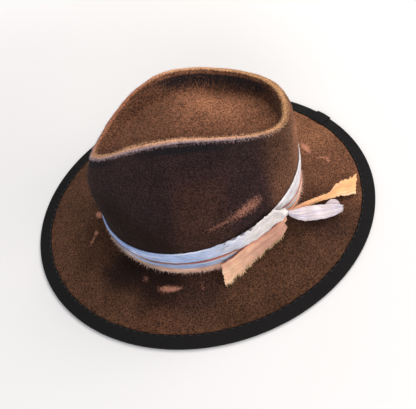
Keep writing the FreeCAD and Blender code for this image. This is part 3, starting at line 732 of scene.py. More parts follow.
# Rubbed places on the felt: (x, y, z), half length, half width and heading of the mark, strength.
SCUFFS = (
    ((78.5, 28, 74), 16, 7.5, (-0.25, 0.95, 0.13), 0.6), ((73.8, 44, 76.5), 11, 9, (-0.4, 0.9, 0.1), 0.42),
    ((82.3, 2, 69.5), 14, 3.2, (0, 0.97, 0.2), 0.5),
    ((-16, -108, 11), 6, 4, (0.9, 0.4, 0), 1.1), ((12, -118.5, 9.5), 9, 2.0, (0.82, -0.56, 0), 0.9),
    ((5, -113, 10.5), 4, 2.6, (0.9, 0.3, 0), 0.8), ((75, -73, 10), 7, 4, (0.9, 0.3, 0), 0.55),
    ((91.5, -56, 9), 10, 4.2, (0.3, 0.95, 0), 0.9), ((94.5, -45, 9.3), 7, 2.4, (0.1, 0.99, 0), 0.6),
    ((101, -23, 9), 7, 3, (0.95, -0.1, 0), 0.5), ((-24, 123, 8.5), 13, 4.6, (0.97, 0.2, 0), 1.0),
    ((-6, 133, 7.6), 8, 2.0, (0.3, 0.95, 0), 0.85), ((1, 138, 7), 5, 2.2, (0.93, -0.36, 0), 0.9),
    ((-100, -60, 8), 14, 3, (0.4, -0.9, 0), 0.6), ((-70, 45, 75), 18, 4, (0.3, 0.9, 0.2), 0.55),
    ((-112, 40, 8), 9, 4, (0.2, 1, 0), 0.55),
)


# ---------------------------------------------------------------- the felt
def round_angles(count=ROUND):
    return np.arange(count) * 2 * math.pi / count


def felt_tone(points):
    """The felt's colour, dye together with painted shade, blended from the places near each point."""
    places = np.array([place for _, spots in FELT_DYE_AND_SHADE for place in spots], float)
    colours = np.array([linear(*swatch) for swatch, spots in FELT_DYE_AND_SHADE for _ in spots])
    gap = np.linalg.norm(points[:, None, :] - places[None, :, :], axis=-1)
    weight = np.exp(-(gap / PATCH_REACH) ** 2) + 0.02 / (1 + (gap / PATCH_SPILL) ** 4)
    return (weight @ colours) / weight.sum(1, keepdims=True)


def scuff_strength(points):
    total = np.zeros(len(points))
    for centre, length, width, heading, strength in SCUFFS:
        away = points - np.array(centre, float)
        run = away @ unit(np.array(heading, float))
        side = np.sqrt(np.maximum((away ** 2).sum(1) - run ** 2, 0))
        total += strength * np.exp(-(run / length) ** 2 - (side / width) ** 2)
    return total


def felt_grid():
    """The outer face's grid, its distance outward from the ridge's crest and that round the crest."""
    theta = round_angles()
    rows, ridge = felt_rows(theta)
    marks = chord_marks(rows)
    fine = np.linspace(0, marks[-1], 3000)
    density = 1 + 2.4 * bump(fine, marks[ridge], 8) + 0.8 * bump(fine, marks[10], 8)
    share = np.cumsum(density)
    at = np.interp(np.linspace(share[0], share[-1], FELT_ROWS), share, fine)
    crest = int(np.argmin(np.abs(at - marks[ridge])))
    grid = natural_spline(rows, marks, at)
    reach = column_reach(grid)
    on_brim = smooth(reach, 13, 24) * smooth(brim_span(theta) - reach, 5, 16)
    on_crown = (reach > brim_span(theta) + 8) * smooth(grid[..., 2] - band_top(theta), 1, 9)
    wave = 0.5 * ripple(grid, 70, 3) + 0.22 * ripple(grid, 26, 4) + 0.07 * ripple(grid, 9, 5)
    normals = grid_normals(grid, wrap_columns=True)
    grid = grid + normals * (wave * (0.8 * on_brim + on_crown))[..., None]
    return grid, normals, reach[crest] - reach, np.tile(chord_marks(grid[crest]), (FELT_ROWS, 1))


def window(theta, start, end, soft):
    """1 between two angles in degrees, fading over soft degrees at both ends."""
    middle, half = math.radians((start + end) / 2), math.radians((end - start) / 2)
    return smooth(half - np.abs(turn_from(theta, middle)), -math.radians(soft) / 2, math.radians(soft) / 2)


def crest_wear_and_highlight(theta, outward, from_crest):
    """How pale the ridge is painted: rubbed wear together with a painted highlight, a band over the crest,
    fuller on the near side.
    """
    width = np.where(from_crest > 0, 4.0, 3.2)
    far_side = 1.1 * np.exp(-(from_crest / width) ** 2)
    near_side = 1.2 * smooth(from_crest, -2.4, 1.0) * (1 - smooth(from_crest, 2.6, 7.0))
    worn = mixed(far_side, near_side, window(theta, 60, 205, 30))
    return worn + 0.3 * window(theta, -25, 45, 30) * bump(outward, 5, 8)


def scorch_and_shade_marks(theta, outward):
    """Scorched dye together with painted shade: dark under the near ridge, and down the far wall of the
    hollow.
    """
    under_ridge = 0.6 + 0.45 * window(theta, 145, 195, 20) + 0.45 * window(theta, 78, 118, 20)
    scorch_and_shade = under_ridge * window(theta, 45, 215, 30) * bump(outward, 9.0, 5.5)
    in_hollow = smooth(-outward, 3.5, 7.0) * (1 - 0.2 * smooth(-outward, 10, 16))
    in_hollow = in_hollow * (1 - smooth(-outward, 15, 31))
    scorch_and_shade = scorch_and_shade + (0.97 - 0.42 * window(theta, 338, 400, 20)) * window(theta, 254, 372, 34) * in_hollow
    return scorch_and_shade + 0.4 * window(theta, 195, 260, 20) * bump(outward, -5, 2.5)


def felt_body():
    grid, normals, outward, round_crest = felt_grid()
    inner = (grid - normals * FELT)[::3]
    inner[0] = grid[0] - UP * FELT
    outer_count, inner_rows = FELT_ROWS * ROUND, len(inner)
    points = np.concatenate([grid.reshape(-1, 3), inner.reshape(-1, 3)])
    faces = grid_faces(FELT_ROWS, ROUND, wrap_columns=True, flip=True)
    faces += grid_faces(inner_rows, ROUND, outer_count, wrap_columns=True)
    faces += [[k, (k + 1) % ROUND, outer_count + (k + 1) % ROUND, outer_count + k] for k in range(ROUND)]
    last, inner_last = outer_count - ROUND, outer_count + (inner_rows - 1) * ROUND
    faces += [list(range(last, outer_count))[::-1], list(range(inner_last, inner_last + ROUND))]
    felt = make_object("felt_shell", points, faces, felt_material())
    stands_for("felt_body")

    theta = np.tile(round_angles(), (FELT_ROWS, 1))
    from_crest = outward + corner_pull(theta)
    from_crest = from_crest + 1.3 * window(theta, 62, 112, 30) + 0.7 * window(theta, 120, 185, 20)
    inside = np.zeros(inner_rows * ROUND)
    under = np.tile(UNDER_FELT, (len(inside), 1))
    crest = felt_crest_colour(theta, from_crest).reshape(-1, 3)
    add_colour(felt, "paint", np.concatenate([felt_tone(grid.reshape(-1, 3)), under]))
    add_colour(felt, "crest", np.concatenate([crest, np.zeros(under.shape)]))
    worn, scorch_and_shade = crest_wear_and_highlight(theta, outward, from_crest) - 0.3, scorch_and_shade_marks(theta, outward) - 0.15
    # the worn mask: rubbed wear together with a painted highlight over the ridge
    add_number(felt, "worn", np.concatenate([worn.ravel(), inside - 1]))
    # the burn mask: scorched dye together with painted shade
    add_number(felt, "scorch_and_shade", np.concatenate([scorch_and_shade.ravel(), inside - 1]))
    add_number(felt, "scuff", np.concatenate([scuff_strength(grid.reshape(-1, 3)), inside]))
    nap = xyz(round_crest, outward, np.sin(theta) * 3)
    add_place(felt, "nap", np.concatenate([nap.reshape(-1, 3), inner.reshape(-1, 3)]))
    return grid, normals, outward, theta


def felt_crest_colour(theta, from_crest):
    """The crest's colour, rubbed wear with painted light in it: tan, gold at the rear as painted warm light,
    reddish at the far front, greyer down its near outer face as painted cool shade.
    """
    outer_face = window(theta, 50, 215, 40) * smooth(from_crest, 0.5, 4.0)
    colour = linear(198, 148, 111)
    for share, tone in ((window(theta, -65, 40, 40), (184, 138, 96)),
                        (window(theta, 195, 258, 24), (168, 106, 76)),
                        (outer_face, (146, 126, 132))):
        colour = mixed(colour, linear(*tone), share[..., None])
    return colour


def felt_fibres(name, roots, heading, length, width, colours, looks):
    rng = np.random.default_rng(12)
    roots = roots + rng.normal(size=roots.shape) * 0.25
    paths = np.stack([roots, roots + heading * length[:, None]], 1)
    strands(name, paths, width, colours.clip(0, 1), looks)


def felt_nap(grid, normals, outward, theta):
    """Loose fibres: a pale fluff combed over the ridge, and a short dark nap everywhere else."""
    rng = np.random.default_rng(11)
    flat, normal = grid.reshape(-1, 3), normals.reshape(-1, 3)
    from_crest, angle = (outward + corner_pull(theta)).ravel(), theta.ravel()
    looks = fibre_material()

    picked = rng.choice(np.where(np.abs(from_crest - 1) < 3.8)[0], FLUFF_FIBRES)
    count = len(picked)
    turn, side = angle[picked], np.sign(from_crest[picked])[:, None]
    drape = xyz(np.sin(turn), np.cos(turn), -0.9) * side * rng.uniform(0.2, 1.0, (count, 1))
    heading = unit(normal[picked] * 0.5 + drape + rng.normal(size=(count, 3)) * 0.45)
    # the fluff takes the crest's colour, with its painted warm light and cool shade
    pale = felt_crest_colour(turn, from_crest[picked]) * rng.uniform(0.6, 1.6, (count, 1))
    felt_fibres("ridge_fluff", flat[picked], heading, rng.uniform(0.7, 2.2, count), 0.11, pale, looks)

    bare = (flat[:, 2] > band_top(angle) + 1) | (flat[:, 2] < junction_height(angle) - 0.3)
    off_binding = column_reach(grid).ravel() > BINDING_REACH + 0.5
    picked = rng.choice(np.where(off_binding & bare & (np.abs(from_crest) > 4))[0], NAP_FIBRES)
    count = len(picked)
    heading = unit(normal[picked] + rng.normal(size=(count, 3)) * 0.5 - 0.1 * UP)
    dull = felt_tone(flat[picked]) * rng.uniform(0.7, 3.0, (count, 1))
    felt_fibres("felt_nap", flat[picked], heading, rng.uniform(0.3, 1.0, count), 0.09, dull, looks)


# ---------------------------------------------------------------- the brim's binding
def binding_section(theta):
    """Corners of the folded ribbon on each radius: over the top, round the fold, underneath, back inside."""
    wobble = 0.22 * ripple(edge_point(theta), 16, 21) + 0.12 * ripple(edge_point(theta), 5, 22)
    pucker = 0.10 * ripple(edge_point(theta), 3.5, 23)
    top, under = GAP + RIBBON, -FELT - GAP - RIBBON
    middle, half = (top + under) / 2, (top - under) / 2
    corners = []
    for part in np.linspace(1, 0, 9):
        swell = 0.25 * math.sin(math.pi * part)
        corners.append(brim_point(theta, BINDING_REACH * part + wobble * part, top + swell + pucker * part))
    for angle in np.radians(np.linspace(75, -75, 7)):      # round the fold
        corners.append(brim_point(theta, -top * math.cos(angle), middle + half * math.sin(angle)))
    for inset in np.interp(np.linspace(0, 1, 7), (0, 0.5, 1), (0, LAND, BINDING_REACH)):
        corners.append(brim_point(theta, inset, under))
    for inset in (BINDING_REACH, LAND, 0.0):
        corners.append(brim_point(theta, inset, under + RIBBON * 0.8))
    for inset, free in ((0.0, 0), (6.0, 0), (BINDING_REACH, 1)):
        corners.append(brim_point(theta, inset + wobble * free, top - RIBBON * 0.8 + pucker * free))
    return np.array(corners)


def brim_binding(material):
    section = binding_section(round_angles(STRIP_ROUND))
    binding = ring_object("brim_ribbon", section, material)
    across = np.arange(len(section))[:, None] * 1.3
    add_place(binding, "weave", xyz(chord_marks(section[8])[None, :], across, 0))
    stands_for("brim_binding")


def binding_lap(material):
    """The ribbon's end, turned under and lapped over its start, with a soft rolled edge."""
    turns = LAP_ANGLE + LAP_HALF_TURN * np.linspace(-1, 1, 22)
    rows = []
    for part in np.linspace(0, 1, 12):
        inset = (BINDING_REACH + 0.9) * (1 - part) - 1.7 * part
        puff = 0.6 * np.cos(np.linspace(-1.3, 1.3, 22)) + 0.12 * math.sin(3 * part)
        rows.append(brim_point(turns, np.full(22, inset), RIBBON + 3 * GAP + puff + 0.2 - 0.5 * part ** 4))
    lap = sheet_object("ribbon_lap", [np.array(rows)[::-1].transpose(1, 0, 2)], 0.7, material)
    stands_for("binding_lap")


def binding_stitching(material):
    """Stitches through the ribbon, seen on top and underneath, with none where the lap is."""
    theta = round_angles(BINDING_STITCHES)
    theta = theta[np.abs(turn_from(theta, LAP_ANGLE)) > math.radians(4.5)]
    half = 2 * math.pi * STITCH_HALF_SHARE / BINDING_STITCHES
    inset = np.full(theta.shape, BINDING_REACH - 1.3)
    sides = ((GAP + RIBBON + 0.12, UP), (-FELT - GAP - RIBBON + 0.14, -UP))
    starts = np.concatenate([brim_point(theta - half, inset, lift) for lift, _ in sides])
    ends = np.concatenate([brim_point(theta + half, inset, lift) for lift, _ in sides])
    outward = np.concatenate([np.tile(way, (len(theta), 1)) for _, way in sides])
    sewn = stitches("ribbon_stitches", starts, ends, outward, 0.24, material)
    stands_for("binding_stitching")


# ---------------------------------------------------------------- the cloth band
def band_height(theta, part):
    """The lower strips bunch together behind the knot."""
    bunched = np.sign(part) * np.abs(part) ** (1 + hump(theta, math.radians(5), math.radians(45)))
    return band_bottom(theta) + (band_top(theta) - band_bottom(theta)) * bunched


def band_place(theta, part, off):
    """A point of the band; part is 0 at its lower edge and 1 at its upper edge."""
    z = band_height(theta, part)
    return crown_oval(theta, off + np.maximum(wall_lean(theta, z), 0.0), z)


def band_strip(name, node, tint, low, high, swell, pleats, ragged, low_off, material, seed):
    """One strip wound round the crown. A pleat is (place across, drift round the hat, width, height)."""
    theta = round_angles(STRIP_ROUND)
    edge = edge_point(theta)
    low_edge = low + ragged[0] * ripple(edge, 7, seed) + 0.4 * ragged[0] * ripple(edge, 2.5, seed + 1)
    high_edge = high + ragged[1] * ripple(edge, 17, seed + 2) + 0.5 * ragged[1] * ripple(edge, 4, seed + 3)
    section = []
    for v in np.linspace(0, 1, 22):
        rounded = (1 - abs(2 * v - 1) ** 5) ** 0.5
        off = 0.5 + swell * (0.35 + 0.65 * rounded) + low_off * (1 - v) ** 2
        for place, drift, width, height in pleats:
            centre = place + drift * ripple(edge, 60, seed + int(place * 90))
            off = off + height * bump(v, centre, width) * rounded
        off = off + 0.10 * ripple(edge * [1, 1, 0] + [0, 0, v * 9], 9, seed + 5) * rounded
        section.append(band_place(theta, low_edge + (high_edge - low_edge) * v, off))
    for v in (0.97, 0.5, 0.03):
        part = low_edge + (high_edge - low_edge) * v
        section.append(band_place(theta, part, 0.42 + low_off * (1 - v) ** 2))
    section = np.array(section)
    strip = ring_object(name, section[::-1], material)
    side = chord_marks(section)[::-1]
    add_place(strip, "weave", xyz(chord_marks(section[0])[None, :], side[:, None], 0))
    add_colour(strip, "paint", np.tile(tint, (len(section), 1)))
    stands_for(node)


def white_tint(theta):
    """The white cloth's colour with painted light: bluish painted shade round the front and left, a warmer
    lit white towards the knot and rear.
    """
    tint = mixed(WHITE_LIGHT, WHITE_PAINTED_SHADE, window(theta, 88, 250, 40)[..., None])
    return mixed(tint, WHITE_FRONT_PAINTED_SHADE, window(theta, 130, 260, 44)[..., None])


def white_strips(material):
    tint = white_tint(round_angles(STRIP_ROUND))
    pleats = ((0.28, 0.10, 0.05, -0.75), (0.36, 0.10, 0.06, 0.45), (0.62, 0.12, 0.045, -0.6),
              (0.70, 0.12, 0.07, 0.4), (0.90, 0.05, 0.03, -0.35))
    band_strip("white_upper_wrap", "white_strip_upper", tint, 0.495, 1.0, 1.5, pleats,
               (0.004, 0.012), 0.0, material, 31)
    pleats = (0.35, 0.12, 0.08, -0.6), (0.62, 0.1, 0.1, 0.35)
    # painted shade: the lower strip is painted darker than the upper one
    band_strip("white_lower_wrap", "white_strip_lower", tint * 0.78, 0.17, 0.43, 1.5, pleats,
               (0.006, 0.006), 0.0, material, 41)


def peach_strips(material):
    theta = round_angles(STRIP_ROUND)
    # painted shade: the cord is painted darker round the front and left
    tint = mixed(linear(178, 96, 80), linear(116, 78, 76), window(theta, 105, 260, 24)[:, None])
    band_strip("peach_rolled_edge", "peach_cord", tint, 0.44, 0.48, 1.4,
               ((0.5, 0.2, 0.2, 0.5),), (0.012, 0.012), 0.0, material, 51)
    tint = mixed(PEACH_BAND, linear(228, 160, 124), window(theta, -60, 50, 30)[:, None])
    # painted shade: the under wrap is painted grey-brown round the front and left
    tint = mixed(tint, linear(132, 120, 106), window(theta, 128, 260, 24)[:, None])
    pleats = (0.3, 0.1, 0.08, -0.5), (0.75, 0.1, 0.09, 0.45)
    band_strip("peach_under_wrap", "peach_strip", tint, -0.02, 0.155, 1.3, pleats,
               (0.045, 0.01), 1.6, material, 61)


def frayed_threads(name, roots, outward, down, longest, colours, material, seed, body="hat"):
    """Loose threads hanging from a torn edge, each with a slight curl."""
    rng = np.random.default_rng(seed)
    count = len(roots)
    heading = outward * rng.uniform(0.3, 1.0, (count, 1)) + down * 0.8 + rng.normal(size=(count, 3)) * 0.35
    heading = unit(heading)
    length = longest * rng.uniform(0.15, 1.0, (count, 1)) ** 1.5
    curl = rng.normal(size=(count, 3)) * 0.22
    steps = [roots + heading * length * t + curl * length * t * t for t in (0, 0.4, 0.75, 1.0)]
    return strands(name, np.stack(steps, 1), 0.11, colours, material, body)


def band_fringe(material):
    """The torn lower edge of the peach strip, hanging over the brim."""
    rng = np.random.default_rng(71)
    count = FRINGE_THREADS
    theta = rng.uniform(0, 2 * math.pi, count)
    part = rng.uniform(0.0, 0.04, count)
    roots = band_place(theta, part, rng.uniform(2.0, 3.2, count))
    down = np.tile([0.0, 0.0, -0.55], (count, 1))
    colours = (np.array(linear(206, 168, 150)) * rng.uniform(0.75, 1.3, (count, 1))).clip(0, 1)
    fringe = frayed_threads("peach_fringe", roots, oval_normal(theta), down, 4.0, colours, material, 72)


def band_tacks(material):
    theta = math.radians(20) + round_angles(TACKS)
    starts, ends = [band_place(theta, np.full(TACKS, part), np.full(TACKS, off))
                    for part, off in ((1.03, 0.3), (0.965, 2.1))]
    tacks = stitches("band_thread_tacks", starts, ends, oval_normal(theta), 0.24, material)
    stands_for("band_tacks")


def white_hitch(material):
    """The white strip's second turn over the band, its near end torn, its far end gathered into the knot."""
    columns, rows = 70, 34
    spread = np.linspace(0, 1, columns)[None, :]
    v = np.linspace(0, 1, rows)[:, None]
    theta = HITCH_START + (HITCH_END - HITCH_START) * spread + np.zeros((rows, 1))
    pinch = smooth(spread, 0.86, 1.0)
    place = xyz(theta * 90, v * 16, 0)
    torn = 1.4 * ripple(xyz(theta * 90, 3, 0), 4.5, 81) * (1 - pinch)
    low = 37.0 + 2.0 * spread + 4.0 * pinch + 0.4 * ripple(xyz(theta * 90, 8, 0), 6, 82)
    rise = 2.0 * smooth(spread, 0, 0.12) + 2.8 * smooth(spread, 0.12, 0.7) - 3.0 * pinch
    z = low + (band_top(theta) + 0.4 + rise + torn - low) * v
    puff = 0.9 * np.sin(math.pi * v) ** 0.5 * smooth(spread, 0, 0.1)
    folds = np.cos(2 * math.pi * (3.2 * v + 0.25)) * (0.25 + 0.75 * spread ** 2)
    off = 2.5 + 1.4 * smooth(spread, 0.0, 0.25) + 4.2 * pinch + puff
    off = off + 0.22 * folds + 0.32 * ripple(place, 8, 83) + 0.16 * ripple(place, 3, 84)
    theta = theta + np.radians(1.6) * ripple(xyz(0, v * 16, 0), 3.2, 85) * (1 - smooth(spread, 0, 0.15))
    grid = crown_oval(theta, off + np.maximum(wall_lean(theta, z), 0.0), z)
    hitch = sheet_object("white_overwrap", [grid.transpose(1, 0, 2)], 0.9, material)
    # painted shade: the hitch's near end is painted bluish
    painted_shade_end = (0.55 * (1 - smooth(spread, 0.1, 0.5)) + 0 * v)[..., None]
    tint = mixed(linear(232, 220, 213), WHITE_PAINTED_SHADE, painted_shade_end)
    paint_sheet(hitch, tint.transpose(1, 0, 2))
    stands_for("white_hitch")


def knots(white, peach):
    """The white knot and the smaller peach knot under it."""
    outward = oval_normal(KNOT_ANGLE)
    along = unit(crown_oval(KNOT_ANGLE - 0.02) - crown_oval(KNOT_ANGLE + 0.02))
    centre = crown_oval(KNOT_ANGLE, 8.0, KNOT_HEIGHT)
    low_centre = centre - UP * 10.6 - outward * 0.6 - along * 0.5
    for node, place, radii, creases, material, seed, swatch, slot in (
            ("white_knot", centre, (3.7, 4.7, 3.8), 5, white, 5, linear(236, 224, 220), "white_muslin"),
            ("peach_knot", low_centre, (3.7, 3.2, 3.0), 4, peach, 6, linear(214, 150, 124), "peach_muslin")):
        knot = bundle(node + "_wrap", place, along, outward, radii, creases, material, seed)
        add_colour(knot, "paint", np.tile(swatch, (len(knot.data.vertices), 1)))
        stands_for(node)


# ---------------------------------------------------------------- the three loose ends
FRONT_TOP_EDGE = (
    (78.0, 63.4, 44.6), (82.0, 50.6, 40.2), (86.8, 34.5, 38.4), (89.8, 19.5, 34.2), (91.2, 9.0, 28.6),
    (91.6, -0.5, 24.6))
FRONT_LOW_EDGE = (
    (79.6, 67.4, 33.0), (82.0, 61.0, 24.6), (86.8, 44.0, 18.6), (94.5, 27.5, 15.4), (101.5, 11.5, 13.4),
    (107.2, -2.2, 12.4))
WHITE_INNER_EDGE = (
    (73.2, 69.5, 48.5), (69.6, 76.0, 41.6), (64.9, 83.4, 34.4), (60.6, 92.6, 27.2), (58.6, 102.0, 21.9),
    (58.6, 110.0, 19.0), (60.2, 118.5, 17.4), (63.4, 126.4, 16.2))
WHITE_OUTER_EDGE = (
    (75.2, 69.8, 47.0), (74.0, 73.2, 39.0), (73.6, 79.2, 30.8), (73.4, 87.2, 23.8), (72.6, 96.0, 19.2),
    (72.4, 105.5, 16.4), (71.6, 115.5, 14.9), (69.2, 124.2, 14.2))
REAR_INNER_EDGE = (
    (67.6, 72.6, 41.0), (57.2, 85.0, 28.2), (51.8, 95.4, 22.5), (48.8, 104.5, 19.0), (46.6, 113.5, 17.0),
    (44.6, 122.6, 16.0), (38.2, 130.5, 15.3), (35.2, 146.0, 13.9), (31.4, 155.4, 12.6))
REAR_OUTER_EDGE = (
    (69.6, 74.0, 39.4), (60.6, 85.6, 27.0), (57.0, 92.6, 21.4), (54.0, 100.5, 18.0), (51.8, 110.0, 15.8),
    (51.2, 120.2, 14.0), (50.5, 130.5, 12.5), (50.5, 139.0, 11.1), (50.8, 146.8, 9.6))
LOBE_INNER_EDGE = (
    (60.0, 108.0, 18.6), (57.2, 113.3, 18.0), (54.4, 118.2, 17.8), (54.6, 123.4, 17.2), (58.0, 126.6, 16.4))
LOBE_OUTER_EDGE = (
    (63.0, 108.0, 18.4), (64.0, 113.5, 17.6), (64.5, 118.5, 17.0), (65.0, 123.0, 16.4), (65.5, 126.0, 16.0))


def edge_curve(points, steps):
    points = np.array(points, float)
    marks = chord_marks(points)
    return natural_spline(points, marks, np.linspace(0, marks[-1], steps))


def strip_grid(edge_a, edge_b, steps, across, shape, ragged, seed):
    """A cloth strip between two edges. shape(along, side) is its height, ragged how torn each edge is."""
    a, b = edge_curve(edge_a, steps), edge_curve(edge_b, steps)
    along = np.linspace(0, 1, steps)[:, None]
    tear = smooth(along[:, 0], 0.1, 0.3)
    start = ragged[0] * tear * (ripple(a, 5, seed) + 0.6 * ripple(a, 1.8, seed + 1))
    end = 1 + ragged[1] * tear * (ripple(b, 5, seed + 2) + 0.6 * ripple(b, 1.8, seed + 3))
    side = np.linspace(0, 1, across)[None, :]
    place = start[:, None] + (end - start)[:, None] * side
    grid = a[:, None, :] + (b - a)[:, None, :] * place[..., None]
    normal = np.cross(np.gradient((a + b) / 2, axis=0), b - a)
    normal = unit(normal * np.where(normal[:, 2:3] < 0, -1, 1))
    return grid + normal[:, None, :] * shape(along, side)[..., None]


def ragged_end(grid, depth, seed):
    """Tear the last rows of a strip unevenly."""
    across = grid.shape[1]
    torn = depth * ripple(xyz(np.arange(across) * 1.0, 0, 0), 4, seed)
    reach = np.linspace(0, 1, len(grid))[:, None, None] ** 6
    heading = unit(grid[-1] - grid[-4])
    return grid + heading[None] * torn[None, :, None] * reach


def hang(cloth, node):
    """A loose end takes its CAD node's place, with its transform baked into its mesh."""
    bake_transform(cloth)
    stands_for(node)


def edge_threads(edge, body, longest, count, colour, material, seed, away):
    """Frayed threads along a torn edge of a loose end."""
    rng = np.random.default_rng(seed)
    spot = rng.uniform(0, len(edge) - 1.001, count)
    k = spot.astype(int)
    roots = edge[k] + (edge[k + 1] - edge[k]) * (spot - k)[:, None]
    away = np.tile(away, (count, 1))
    colours = (np.array(colour) * rng.uniform(0.8, 1.25, (count, 1))).clip(0, 1)
    made = frayed_threads(
        body + "_threads", roots, away, away * 0.3, longest, colours, material, seed + 1, body)


def front_end(material, thread):
    """The front peach end, broad and bowed, with a dark hem along its upper edge and a frayed lower edge."""
    steps, across = 90, 40

    def shape(along, side):
        bow = 1.6 * 4 * side * (1 - side) * (0.4 + 0.6 * along)
        fold = 0.9 * bump(side, 0.3 + 0.1 * along, 0.10) * (1 - 0.5 * along) - 0.5 * bump(side, 0.48, 0.09)
        return bow + fold + 0.35 * np.sin(9 * along + 5 * side) * along

    grid = strip_grid(FRONT_TOP_EDGE, FRONT_LOW_EDGE, steps, across, shape, (0.012, 0.075), 91)
    grid = ragged_end(grid, 0.7, 95)
    cloth = sheet_object("peach_front_end", [grid], 0.8, material, None)
    pale = smooth(np.linspace(0, 1, steps), 0.3, 0.85)[:, None, None] * np.ones((1, across, 1))
    hem = (1 - smooth(np.linspace(0, 1, across), 0.03, 0.08))[None, :, None]
    tint = mixed(mixed(linear(204, 146, 122), PEACH_END, pale), linear(186, 100, 82), hem)
    paint_sheet(cloth, tint)
    hang(cloth, "peach_tail_front")
    edge_threads(grid[10:, -1], "front_end", 3.4, 900, linear(238, 200, 150), thread, 97,
                 (0.55, -0.05, -0.55))


def white_end(material, thread):
    """The rear white end, creased and puffed, with a lobe of its under layer showing on the inner side."""
    steps, across, lobe_steps, lobe_across = 90, 36, 30, 16

    def shape(along, side):
        bow = 2.6 * (4 * side * (1 - side)) ** 0.7 * (0.55 + 0.45 * np.sin(math.pi * along))
        crease = -0.7 * bump(side, 0.32 + 0.05 * along, 0.05) - 0.45 * bump(side, 0.62, 0.05) * (1 - along)
        return bow + crease + 0.25 * np.sin(14 * along + 9 * side)

    def under(along, side):
        return -1.7 + 0.5 * np.sin(3 * along + 2 * side)

    grid = strip_grid(WHITE_INNER_EDGE, WHITE_OUTER_EDGE, steps, across, shape, (0.015, 0.015), 101)
    grid = ragged_end(grid, 0.9, 105)
    lobe = strip_grid(LOBE_INNER_EDGE, LOBE_OUTER_EDGE, lobe_steps, lobe_across, under, (0.02, 0.0), 106)
    cloth = sheet_object("white_rear_end", [grid, lobe], 0.8, material, None)
    upper = np.tile(linear(214, 197, 199), (steps * across * 2, 1))
    lower = np.tile(linear(196, 176, 178), (lobe_steps * lobe_across * 2, 1))
    add_colour(cloth, "paint", np.concatenate([upper, lower]))
    hang(cloth, "white_tail_rear")
    edge_threads(grid[-1], "white_end", 1.8, 110, linear(236, 226, 224), thread, 107,
                 (0.1, 0.8, -0.1))


def rear_end(material, thread):
    """The narrow rear end, twisted like a torn strip, rusty at its root and orange towards its tip."""
    steps, across = 110, 26

    def shape(along, side):
        twist = 1.1 * (side - 0.5) * np.sin(5 * along)
        wave = 0.35 * np.sin(16 * along + 3 * side) * smooth(along, 0.2, 0.6)
        return 0.9 * 4 * side * (1 - side) + twist + wave

    grid = strip_grid(REAR_INNER_EDGE, REAR_OUTER_EDGE, steps, across, shape, (0.06, 0.04), 111)
    grid = ragged_end(grid, 0.8, 115)
    cloth = sheet_object("peach_rear_end", [grid], 0.7, material, None)
    rusty = (1 - smooth(np.linspace(0, 1, steps), 0.15, 0.55))[:, None, None] * np.ones((1, across, 1))
    tint = mixed(ORANGE_END, linear(214, 142, 108), rusty)
    paint_sheet(cloth, tint)
    hang(cloth, "peach_tail_rear")
    edge_threads(grid[40:, 0], "rear_end", 2.0, 150, linear(250, 206, 150), thread, 117,
                 (-0.6, 0.35, 0.1))


# ---------------------------------------------------------------- inside the crown
def sweat_point(theta, off, rise):
    return crown_oval(theta, off, junction_height(theta) + rise)


def sweatband_stitching(material):
    theta = round_angles(SWEATBAND_STITCHES) + math.pi / SWEATBAND_STITCHES
    half = 2 * math.pi * STITCH_HALF_SHARE / SWEATBAND_STITCHES
    starts, ends = [sweat_point(theta + way * half, np.full(theta.shape, -6.3), 3.4) for way in (-1, 1)]
    sewn = stitches("sweatband_stitches", starts, ends, -oval_normal(theta), 0.22, material)
    stands_for("sweatband_stitching")


def sweatband_bow(material):
    """Two flat ribbon loops and a wrapped middle."""
    centre = sweat_point(0.0, -8.2, 12.0)
    width = np.linspace(-2.4, 2.4, 12)
    turn = np.linspace(0, 2 * math.pi, 40)
    depth = 1.15 * np.sin(turn) * (0.6 + 0.4 * np.abs(np.cos(turn)))
    pinch = 0.55 + 0.45 * np.sin(turn / 2) ** 0.8
    rise = width[None, :] * pinch[:, None]
    grids = []
    for way in (-1, 1):
        x = way * 5.3 * (1 - np.cos(turn))
        grids.append(centre + xyz(x[:, None], depth[:, None] - 0.1, rise + 0.25 * np.sin(x)[:, None]))
    bow = sheet_object("sweatband_bow_loops", grids, 0.35, material)
    stands_for("sweatband_bow")
    middle = bundle("sweatband_bow_knot", centre, np.array([1.0, 0, 0]), np.array([0, -1.0, 0]),
                    (1.5, 2.1, 1.7), 4, material, seed=8)


# ---------------------------------------------------------------- the studio
CAMERA_AZIMUTH, CAMERA_ELEVATION, CAMERA_ROLL = map(math.radians, (89.38, 52.71, 16.4))
CAMERA_DISTANCE = 0.54738
CAMERA_LENS = 44.87
CAMERA_SHIFT = 0.0133, -0.0037
FLOOR_HALF_SIDE, FLOOR_DROP = 8000, 0.05
# Lamps: name, azimuth, elevation, distance, size, power, colour.
LAMPS = (
    ("key", 215, 58, 1.6, 1.1, 22, (1.0, 0.97, 0.93)),
    ("rear_fill", 150, 45, 1.6, 0.9, 8, (1.0, 0.93, 0.86)),
    ("near_fill", 75, 24, 1.6, 1.0, 14, (0.90, 0.94, 1.0)),
)


def aim(made, location, back, roll=0.0):
    """Point an object along -back from a place, turned by roll about that line."""
    right = Vector((-back.y, back.x, 0)).normalized()
    up = back.cross(right)
    turned_right = right * math.cos(roll) - up * math.sin(roll)
    turned_up = right * math.sin(roll) + up * math.cos(roll)
    turn = Matrix((turned_right, turned_up, back)).transposed()
    made.matrix_world = Matrix.Translation(location) @ turn.to_4x4()


def heading(azimuth, elevation):
    """Direction from the hat towards a viewer; azimuth 0 is in front of the hat, 90 at the wearer's left."""
    flat = math.cos(elevation)
    return Vector((math.sin(azimuth) * flat, -math.cos(azimuth) * flat, math.sin(elevation)))


